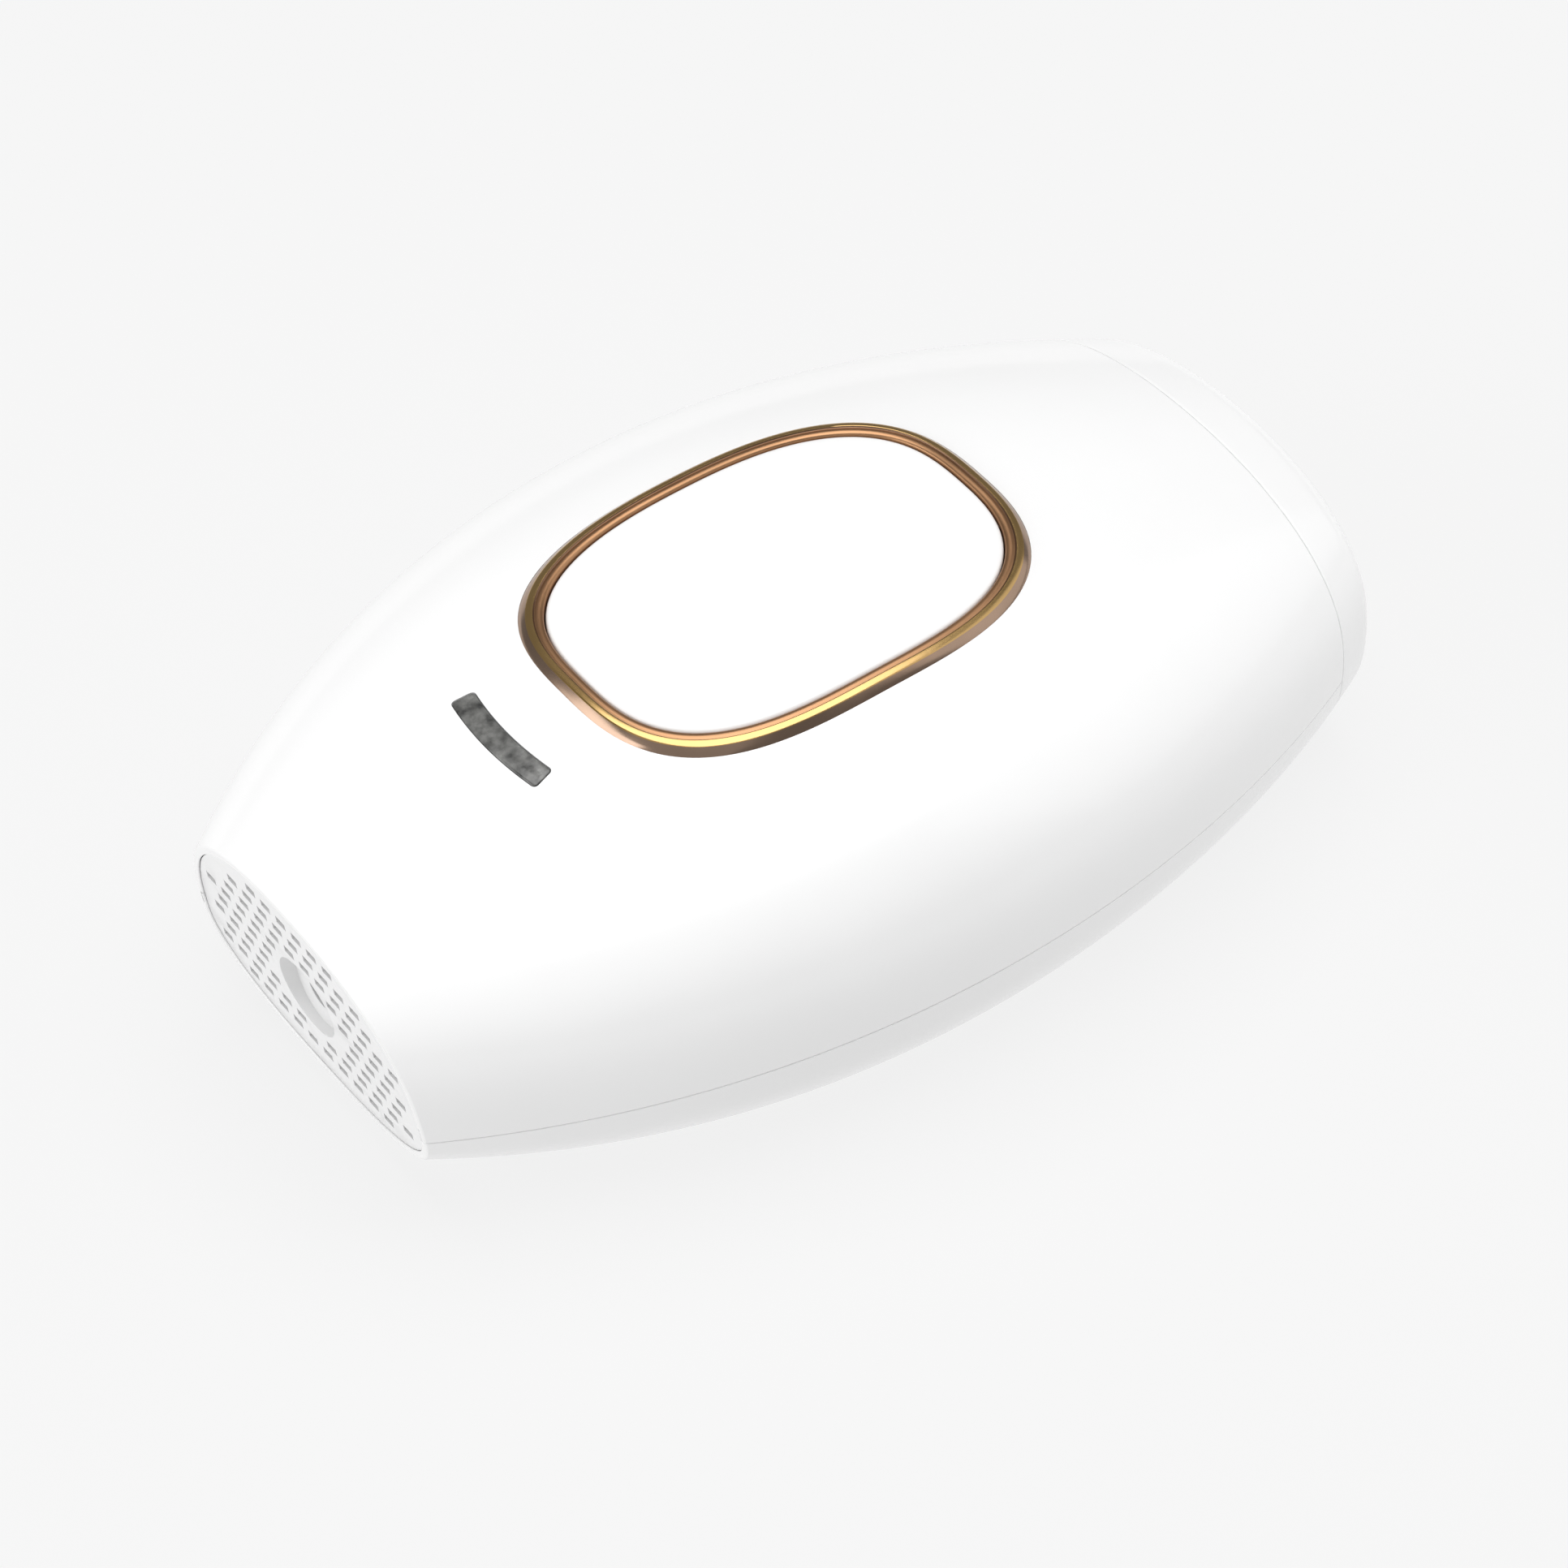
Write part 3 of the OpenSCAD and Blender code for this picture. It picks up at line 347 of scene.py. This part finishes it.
MIRROR = metal("bright_aluminium", (0.88, 0.88, 0.9), 0.08, vary=0.02, rough_vary=0.03)
TAPE = material("coil_tape", (0.72, 0.52, 0.08), 0.4, vary=0.08, bump=0.1)
TUBE = material("tube_glass", (0.86, 0.9, 0.93), 0.05, vary=0.01, rough_vary=0.02, alpha=0.45)
FILTER = material("filter_glass", (0.86, 0.56, 0.20), 0.06, vary=0.03, rough_vary=0.02, alpha=0.5, coat=0.5)
RED = material("red_silicone", (0.50, 0.03, 0.02), 0.42, vary=0.08, bump=0.06)
DARK_LEAD = material("black_silicone", (0.03, 0.03, 0.03), 0.42, vary=0.1, bump=0.06)
RIBBON = material("grey_ribbon", (0.60, 0.60, 0.60), 0.4, vary=0.06, grain=2200, bump=0.15)

# CAD nodes that show as they are
CAD_LOOKS = {
    BOARD: "control_board indicator_board power_board", LED: "indicator_leds", GUIDE: "light_guide",
    STEEL: "tray_screws board_screws jack_pin fan_shaft lamp_electrodes",
    GREY: "button_tray", CREAM: "lamp_holder lead_connectors", BLACK: "switch_body power_switch jack_housing",
    FAN_BLACK: "fan_frame fan_rotor", BROWN: "switch_plunger", COPPER: "fan_stator transformer_winding",
    FERRITE: "transformer_core", SLEEVE: "main_capacitor filter_capacitors", ALUMINIUM: "heat_sink",
    MIRROR: "reflector", TAPE: "trigger_coil", TUBE: "flash_tube", FILTER: "filter_glass",
    RED: "lamp_leads jack_leads", DARK_LEAD: "fan_leads", RIBBON: "board_ribbon",
}


def paint(piece, look):
    piece.data.materials.clear()
    piece.data.materials.append(look)


for look, names in CAD_LOOKS.items():
    for node in names.split():
        paint(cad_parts[node], look)


def finish_piece(piece, look, body, slot, *nodes):
    """Paints a piece, ties it to its body and hides the CAD nodes that it stands for; the slot is not used.
    """
    paint(piece, look)
    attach(piece, body)
    if nodes:
        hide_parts(*nodes)
    return piece


# ---------------------------------------------------------------- casings

SEAM_GAP, HEAD_GAP = 0.05, 0.0002       # half of each gap: at the seam in mm, before the bezel as a share
EDGE, TAIL_EDGE = 0.16, 0.35            # rounding of the edges
RIM_WALL, RIM_U, RIM_STEP = 1.2, 2.2 / SPAN, 0.0002     # thin wall round the grille
LIP_SKIN, LIP_SLACK, LIP_RISE, LIP_GAP = 1, 0.15, 2, 0.1        # lap joint behind the seam
CASING_STEPS, CASING_ARCS, CORNER_ARCS = 150, 110, 6    # steps along and across, and those in a corner face
EDGE_TURN, FILLET = np.radians([0, 25, 50, 70]), np.radians([0, 30, 60])
CUT_LOW, CUT_HIGH = 38, 60              # heights of a cutter through the roof


def end_rounding(start, stop, r_start, r_stop):
    """Stations (share, how far the skin is drawn in), rounded at both ends."""
    rows = [(start + r_start * (1 - math.cos(q)) / SPAN, r_start * (1 - math.sin(q))) for q in EDGE_TURN]
    rows += [(u, 0.0) for u in np.linspace(start + r_start / SPAN, stop - r_stop / SPAN, CASING_STEPS)]
    rows += [(stop - r_stop * (1 - math.cos(q)) / SPAN, r_stop * (1 - math.sin(q)))
             for q in EDGE_TURN[::-1]]
    return rows


def half_casing(name, upper):
    """Upper or lower half: outer skin, rounded seam edges, a lip behind the seam and the inner skin."""
    sign, section = (1, arch) if upper else (-1, bowl)
    rows = end_rounding(0, BEZEL_U - HEAD_GAP, TAIL_EDGE, EDGE)
    rows = sorted(rows + [(RIM_U - RIM_STEP, 0.0), (RIM_U + RIM_STEP, 0.0)])
    sweep = np.linspace(0, 1, CASING_ARCS + 1)
    rings = []
    for u, draw in rows:
        wall, lip_skin = (RIM_WALL, RIM_WALL / 2) if u < RIM_U else (WALL, LIP_SKIN)
        s = seam(u) + sign * SEAM_GAP
        depth = (crown(u) - s) if upper else (s - keel(u))
        power = curve(ROOF_Z, u) if upper else BOWL[1]
        start = math.asin((EDGE / depth) ** (power / 2))
        y, z = section(u, start + (math.pi - 2 * start) * sweep, draw, s)
        fy = half_width(u) - draw - EDGE * (1 - np.sin(FILLET))
        fz = s + sign * EDGE * (1 - np.cos(FILLET))

        inner_draw = wall - draw
        lip = half_width(u) - lip_skin - (0 if upper else LIP_SLACK)
        up = seam(u) + LIP_RISE + sign * LIP_GAP
        start = math.asin(((up - s) / (crown(u) - inner_draw - s)) ** (power / 2)) if upper else 0
        iy, iz = section(u, start + (math.pi - 2 * start) * sweep, inner_draw, s)
        iz[[0, -1]] = up
        ys = np.concatenate([fy, y, -fy[::-1], [-lip, -lip], iy[::-1], [lip, lip]])
        zs = np.concatenate([fz, z, fz[::-1], [s, up], iz[::-1], [up, s]])
        rings.append(np.stack([station_x(u, zs), ys, zs], 1))

    # End walls: one face at each seam corner and quads between the two skins
    rings = np.array(rings)
    m, n = rings.shape[:2]
    outer = len(FILLET)
    inner = outer + (CASING_ARCS + 1) + len(FILLET) + 2
    last = inner + CASING_ARCS
    near = [n - 1, *range(outer + CORNER_ARCS + 1), *range(last - CORNER_ARCS, last + 1), n - 2]
    ends = [near]
    ends += [[outer + i, outer + i + 1, last - i - 1, last - i]
             for i in range(CORNER_ARCS, CASING_ARCS - CORNER_ARCS)]
    ends += [range(outer + CASING_ARCS - CORNER_ARCS, inner + CORNER_ARCS + 1)]
    far = (m - 1) * n
    faces = skin(rings) + [tuple(f) for f in ends] + [tuple(v + far for v in reversed(f)) for f in ends]
    return mesh_object(name, rings.reshape(-1, 3), faces)


LENS_ARC_R, LENS_HALF_LONG, LENS_HALF_WIDE, LENS_CORNER = 40.3, 8.25, 1.5, 0.55
LONG_PARTS, SHORT_PARTS, CORNER_PARTS, CORNER_DEGREES = 24, 4, 6, 18


def indicator_outline(grow):
    """Rounded arc round the ring's centre as (x, y), grown by an amount."""
    half, width, corner = LENS_HALF_LONG + grow, LENS_HALF_WIDE + grow, LENS_CORNER + grow
    spots = []
    for cx, cy, start in ((half, width, 0), (-half, width, 90), (-half, -width, 180), (half, -width, 270)):
        ox, oy = cx - math.copysign(corner, cx), cy - math.copysign(corner, cy)
        for i in range(CORNER_PARTS):
            q = math.radians(start + CORNER_DEGREES * i)
            spots.append((ox + corner * math.cos(q), oy + corner * math.sin(q)))
    flat = []
    for i, p in enumerate(spots):
        q = spots[(i + 1) % len(spots)]
        long_side, short_side = abs(p[0] - q[0]) > half / 2, abs(p[1] - q[1]) > width / 2
        count = LONG_PARTS if long_side else SHORT_PARTS if short_side else 1
        flat += [(p[0] + (q[0] - p[0]) * t / count, p[1] + (q[1] - p[1]) * t / count) for t in range(count)]
    flat = np.array(flat)
    angle = math.pi + flat[:, 0] / LENS_ARC_R
    r = LENS_ARC_R + flat[:, 1]
    return np.stack([RING_X + r * np.cos(angle), r * np.sin(angle)], 1)


ANGLES = ring_angles()
RING_SLACK, LENS_SLACK = 0.05, 0.06
SCREWS = [(-52, 16, 7), (-52, -16, 7), (42, 20, 5), (42, -20, 5)]      # x, y and height of the head's seat
SCREW_HOLE_R, HOLE_LOW, SCREW_SIDES = 2.7, -2, 48

top = half_casing("top_casing", True)
cut(top, prism("ring_opening", np.stack(ring_point(ANGLES, RING_SLACK), 1), CUT_LOW, CUT_HIGH),
    prism("lens_opening", indicator_outline(LENS_SLACK), CUT_LOW, CUT_HIGH))
follow_field(top, roof_field)
finish_piece(top, WHITE, "handset", "casing", "top_shell")

bottom = half_casing("bottom_casing", False)
cut(bottom, *[turned("screw_hole", [(SCREW_HOLE_R, HOLE_LOW), (SCREW_HOLE_R, seat)], x, y, SCREW_SIDES)
              for x, y, seat in SCREWS])
follow_field(bottom, bowl_field)
finish_piece(bottom, WHITE, "handset", "casing", "bottom_shell")

# ---------------------------------------------------------------- head bezel

TURN = np.linspace(0, 2 * math.pi, 192, endpoint=False)
NOSE_LONG, NOSE_DEEP = 2.6, 1.6         # rounding round the face, along and inwards
WINDOW_HALF_Y, WINDOW_HALF_Z, WINDOW_Z, WINDOW_POWER, WINDOW_ROUND = 21, 10, 19.6, 5, 0.5
SLEEVE_U, SLEEVE_SKIN, SLEEVE_SLACK = 0.02, 1.3, 0.15      # the sleeve that reaches into the casing


def around(u, d):
    """Whole section of the casing at a station, drawn in by d."""
    y1, z1 = arch(u, TURN, d, seam(u))
    y2, z2 = bowl(u, 2 * math.pi - TURN, d, seam(u))
    up = TURN <= math.pi
    y, z = np.where(up, y1, y2), np.where(up, z1, z2)
    return np.stack([station_x(u, z), y, z], 1)


def window_loop(x, grow):
    y = (WINDOW_HALF_Y + grow) * spow(np.cos(TURN), 2 / WINDOW_POWER)
    z = WINDOW_Z + (WINDOW_HALF_Z + grow) * spow(np.sin(TURN), 2 / WINDOW_POWER)
    return np.stack([np.full(len(TURN), x), y, z], 1)


bezel_start = BEZEL_U + HEAD_GAP
rows = [around(bezel_start + EDGE * (1 - math.cos(q)) / SPAN, EDGE * (1 - math.sin(q))) for q in FILLET]
rows += [around(u, 0) for u in np.linspace(bezel_start + EDGE / SPAN, 1 - NOSE_LONG / SPAN, 12)]
rows += [around(1 - NOSE_LONG / SPAN * (1 - math.sin(q)), NOSE_DEEP * (1 - math.cos(q)))
         for q in np.radians(np.arange(10, 91, 10))]
face_edge, window_edge = rows[-1], window_loop(HEAD_X, WINDOW_ROUND)
rows += [face_edge * (1 - t) + window_edge * t for t in np.linspace(0.06, 1, 7)]
rows += [window_loop(HEAD_X - WINDOW_ROUND * (1 - math.cos(q)), WINDOW_ROUND * (1 - math.sin(q)))
         for q in np.radians([22, 45, 67, 90])]
rows += [window_loop(HEAD_X - WALL, 0), around(1 - WALL / SPAN, WALL + SLEEVE_SKIN),
         around(BEZEL_U - SLEEVE_U, WALL + SLEEVE_SKIN), around(BEZEL_U - SLEEVE_U, WALL + SLEEVE_SLACK),
         around(bezel_start, WALL + SLEEVE_SLACK)]
bezel = skinned_object("head_bezel_shell", rows, closed=True)
finish_piece(bezel, WHITE, "handset", "casing", "head_bezel")

# ---------------------------------------------------------------- trim ring and button

# Depth inside the ring's outer edge and height over the casing: slope, crest, groove and lip
RING_BAND = [(0, -0.7), (0, -0.14), (0.05, -0.02), (0.45, 0.34), (0.84, 0.65), (0.93, 0.71), (1.06, 0.75),
             (1.3, 0.785), (1.58, 0.8), (1.67, 0.77), (1.72, 0.68), (1.78, 0.57), (1.85, 0.54), (1.92, 0.56),
             (2.02, 0.6), (2.2, 0.61), (2.42, 0.57), (2.64, 0.47), (2.8, 0.33), (2.88, 0.15), (2.9, 0),
             (2.9, -0.5)]
SLOPE_END, CREST_END, GROOVE_END = 0.84, 1.67, 1.85
RING_LOOKS = [GOLD, SLOPE_PAINTED_REFLECTION, GROOVE_PAINTED_SHADE, LIP_PAINTED_SHADE]
RING_DEEP, RING_NECK, RING_LOW, RING_UNDER = 2.9, 0.75, 43.6, 45.2      # the ring's foot inside the casing


def ring_row(d, h=None, z=None, share=1):
    """Loop a depth d inside the ring's outer edge, at a height h over the casing or flat at z."""
    x, y = ring_point(ANGLES, d)
    x, y = RING_X + share * (x - RING_X), share * y
    return np.stack([x, y, roof(x, y) + h if z is None else np.full(len(x), z)], 1)


rows = [ring_row(d, h) for d, h in RING_BAND]
rows += [ring_row(d, z=z) for d, z in ((RING_DEEP, RING_LOW), (RING_NECK, RING_LOW), (RING_NECK, RING_UNDER))]
ring = skinned_object("metal_ring", rows, closed=True, angle=50)
finish_piece(ring, RING_LOOKS[0], "handset", "trim", "trim_ring")
for look in RING_LOOKS[1:]:
    ring.data.materials.append(look)
# Faces take their paint by zone. The slope and lip get darker copies of the ring's metal as painted
# reflection and shade, and the groove gets painted shade.
for face in ring.data.polygons:
    row = face.index // len(ANGLES)
    depth = RING_BAND[row][0] if row < len(RING_BAND) else 0
    look = (SLOPE_PAINTED_REFLECTION if depth < SLOPE_END else GOLD if depth < CREST_END
            else GROOVE_PAINTED_SHADE if depth < GROOVE_END else LIP_PAINTED_SHADE)
    face.material_index = RING_LOOKS.index(look)

INSET, CAP_TOP_IN, CAP_LIFT = 3.05, 0.9, 0.35           # the button's rim and its flat top
FLANGE_OUT, FLANGE_TOP, FLANGE_LOW, SKIRT_IN, CAP_UNDER = 1.2, 43.4, 42.4, 1.8, 45.4
POSTS = [(x, y) for x in (-19, 19) for y in (-9.5, 9.5)]
POST_R, POST_LOW, PUSHER_R, PUSHER_LOW, POST_TOP, POST_ROUND = 2.8, 42.45, 2, 41.55, 45.9, 0.3

rows = [ring_row(INSET + CAP_TOP_IN, CAP_LIFT, share=s) for s in np.linspace(0.04, 1, 30)]
rows += [ring_row(INSET + d, h) for d, h in ((0.65, 0.34), (0.45, 0.3), (0.3, 0.24), (0.17, 0.15),
                                             (0.08, 0.03), (0.02, -0.12), (0, -0.3), (0, -1.2))]
rows += [ring_row(INSET + d, z=z) for d, z in ((0, FLANGE_TOP), (-FLANGE_OUT, FLANGE_TOP),
                                               (-FLANGE_OUT, FLANGE_LOW), (SKIRT_IN, FLANGE_LOW),
                                               (SKIRT_IN, CAP_UNDER))]
button = skinned_object("button_cap", rows, angle=40)
finish_piece(button, BUTTON, "button", "casing", "shot_button")
legs = [(x, y, POST_R, POST_LOW) for x, y in POSTS] + [(0, 0, PUSHER_R, PUSHER_LOW)]
for i, (x, y, r, low) in enumerate(legs):
    profile = [(r - POST_ROUND, low), (r, low + POST_ROUND), (r, POST_TOP)]
    post = turned(f"button_post_{i}", profile, RING_X + x, y)
    finish_piece(post, BUTTON, "button", "casing")

# Return springs, drawn at rest: the real ones shorten as the button goes in
TRAY_TOP, SPRING_TOP, SPRING_R, WIRE_R, TURNS, TRAVEL = 36.0, FLANGE_LOW, 2.05, 0.25, 4, 0.6
STEPS_A_TURN, WIRE_SIDES = 36, 10
for i, (x, y) in enumerate(POSTS):
    rings = []
    for share in np.linspace(0, 1, STEPS_A_TURN * TURNS + 1):
        a, q = 2 * math.pi * TURNS * share, np.linspace(0, 2 * math.pi, WIRE_SIDES, endpoint=False)
        out = SPRING_R + WIRE_R * np.cos(q)
        height = TRAY_TOP + WIRE_R + (SPRING_TOP - TRAY_TOP - 2 * WIRE_R) * share + WIRE_R * np.sin(q)
        rings.append(np.stack([RING_X + x + out * math.cos(a), y + out * math.sin(a), height], 1))
    spring = skinned_object(f"return_spring_{i}", rings, angle=60)
    finish_piece(spring, STEEL, "handset", "steel", *(["button_springs"] if i == 0 else []))
    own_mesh(spring)

# ---------------------------------------------------------------- indicator lens

# How far each loop is drawn in, and its height over the casing
LENS_EDGE = [(0, -2.6), (0, -0.1), (0.06, -0.02), (0.16, 0.03), (0.3, 0.05), (0.45, 0.06)]


def over_casing(x, y, h):
    return np.stack([x, y, roof(x, y) + h], 1)


rows = [over_casing(*indicator_outline(-LENS_SLACK - d).T, h) for d, h in LENS_EDGE]
edge = rows[-1][:, :2] - (RING_X, 0)
for share in (0.5, 0.12):
    r = np.hypot(*edge.T)
    k = (LENS_ARC_R + (r - LENS_ARC_R) * share) / r
    rows.append(over_casing(RING_X + edge[:, 0] * k, edge[:, 1] * k, LENS_EDGE[-1][1]))
lens = skinned_object("indicator_window", rows, angle=40)
finish_piece(lens, SMOKE, "handset", "smoked_lens", "indicator_lens")

# ---------------------------------------------------------------- pieces that round a CAD node's edges

WELD, FLAT, CREASE, BEVEL_PARTS = 0.00001, 1.5, 35, 2      # metres, degrees, degrees, count


def rounded_copy(node, name, look, slot, width):
    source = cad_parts[node]
    piece = bpy.data.objects.new(name, source.data.copy())
    scene.collection.objects.link(piece)
    work = bmesh.new()
    work.from_mesh(piece.data)
    bmesh.ops.remove_doubles(work, verts=work.verts, dist=WELD)
    bmesh.ops.dissolve_limit(work, angle_limit=math.radians(FLAT), verts=work.verts, edges=work.edges)
    work.to_mesh(piece.data)
    work.free()
    bevel = piece.modifiers.new("round", "BEVEL")
    bevel.width = width * MM
    bevel.segments = BEVEL_PARTS
    bevel.limit_method = "ANGLE"
    bevel.angle_limit = math.radians(CREASE)
    apply_changes(piece)
    smooth(piece, CREASE)
    return finish_piece(piece, look, "handset", slot, node)


# The plate fills the tail's opening but for a hair's breadth, so it is grown a little round its middle
GRILLE_MID_Z, GRILLE_GROW_Y, GRILLE_GROW_Z = 0.0221, 1.009, 1.013
grille = rounded_copy("rear_grille", "vent_grille", VENT, "casing", 0.15)
for spot in grille.data.vertices:
    spot.co.y *= GRILLE_GROW_Y
    spot.co.z = GRILLE_MID_Z + (spot.co.z - GRILLE_MID_Z) * GRILLE_GROW_Z
rounded_copy("window_frame", "window_surround", FRAME_STEEL, "bright_frame", 0.25)

# Cross-headed screws: radius and height, over the head's seat and then over the floor
HEAD_PROFILE = [(0.4, -1.8), (1.9, -1.72), (2.25, -1.5), (2.4, -1.1), (2.4, 0), (1.25, 0)]
SHANK = [(1.25, 19.4), (0.5, 20)]
CROSS_DROP, CROSS_SIZE, CROSS_TURN = 1.5, (2.6 * MM, 0.55 * MM, 1.4 * MM), 20
for i, (x, y, seat) in enumerate(SCREWS):
    screw = turned(f"case_screw_{i}", [(r, seat + h) for r, h in HEAD_PROFILE] + SHANK, x, y, SCREW_SIDES)
    arms = []
    for turn in (0, 90):
        bpy.ops.mesh.primitive_cube_add(size=1, location=(x * MM, y * MM, (seat - CROSS_DROP) * MM),
                                        rotation=(0, 0, math.radians(turn + CROSS_TURN * i)))
        arm = bpy.context.object
        arm.scale = CROSS_SIZE
        arms.append(arm)
    cut(screw, *arms)
    smooth(screw, CREASE)
    finish_piece(screw, STEEL, "handset", "steel", *(["case_screws"] if i == 0 else []))

# ---------------------------------------------------------------- floor, light, camera

FLOOR_HALF, FLOOR_Z, FLOOR_GREY, FLOOR_GLOW, SKY_GLOW = 6, -0.0001, 0.12, 0.785, 0.27

floor_mesh = bpy.data.meshes.new("floor")
corners = [(x * FLOOR_HALF, y * FLOOR_HALF, 0) for x, y in ((-1, -1), (1, -1), (1, 1), (-1, 1))]
floor_mesh.from_pydata(corners, [], [(0, 1, 2, 3)])
floor = bpy.data.objects.new("floor", floor_mesh)
floor.location.z = FLOOR_Z
scene.collection.objects.link(floor)
pale = bpy.data.materials.new("pale_floor")
pale.use_nodes = True
pale_inputs = pale.node_tree.nodes["Principled BSDF"].inputs
pale_inputs["Base Color"].default_value = (FLOOR_GREY, FLOOR_GREY, FLOOR_GREY, 1)
pale_inputs["Roughness"].default_value = 1
pale_inputs["Specular IOR Level"].default_value = 0
pale_inputs["Emission Color"].default_value = (1, 1, 1, 1)
pale_inputs["Emission Strength"].default_value = FLOOR_GLOW
floor_mesh.materials.append(pale)

world = bpy.data.worlds.new("studio")
scene.world = world
world.use_nodes = True
sky_inputs = world.node_tree.nodes["Background"].inputs
sky_inputs["Color"].default_value = (1, 1, 1, 1)
sky_inputs["Strength"].default_value = SKY_GLOW

MIDDLE = Vector((0, 0, 0.03))
# Soft boxes that face the part's middle: place and size in metres, power in watts
SOFT_BOXES = {
    "top_light": ((0.08, 0, 1.0), (1.06, 0.9), 8.6),
    "left_light": ((-0.9, 0.2, 0.35), (0.8, 0.6), 3.6),
    "right_light": ((0.8, -0.4, 0.5), (1.0, 0.9), 2.1),
    "front_light": ((-0.6, -0.5, 0.7), (1.3, 1.3), 1.3),
}
for name, (place, size, power) in SOFT_BOXES.items():
    light = bpy.data.lights.new(name, "AREA")
    light.shape = "RECTANGLE"
    light.size, light.size_y = size
    light.energy = power
    lamp = bpy.data.objects.new(name, light)
    lamp.location = place
    lamp.rotation_euler = (MIDDLE - Vector(place)).to_track_quat("-Z", "Y").to_euler()
    scene.collection.objects.link(lamp)

camera_data = bpy.data.cameras.new("camera")
camera_data.lens = 114.6
camera_data.sensor_width = 36
camera_data.clip_start = 0.01
camera = bpy.data.objects.new("camera", camera_data)
forward = Vector((0.4139, 0.546, -0.7284)).normalized()
camera.rotation_euler = forward.to_track_quat("-Z", "Y").to_euler()
camera.location = (-0.2543, -0.3362, 0.4609)
scene.collection.objects.link(camera)
scene.camera = camera
scene.view_settings.view_transform = "Standard"
scene.view_settings.look = "None"
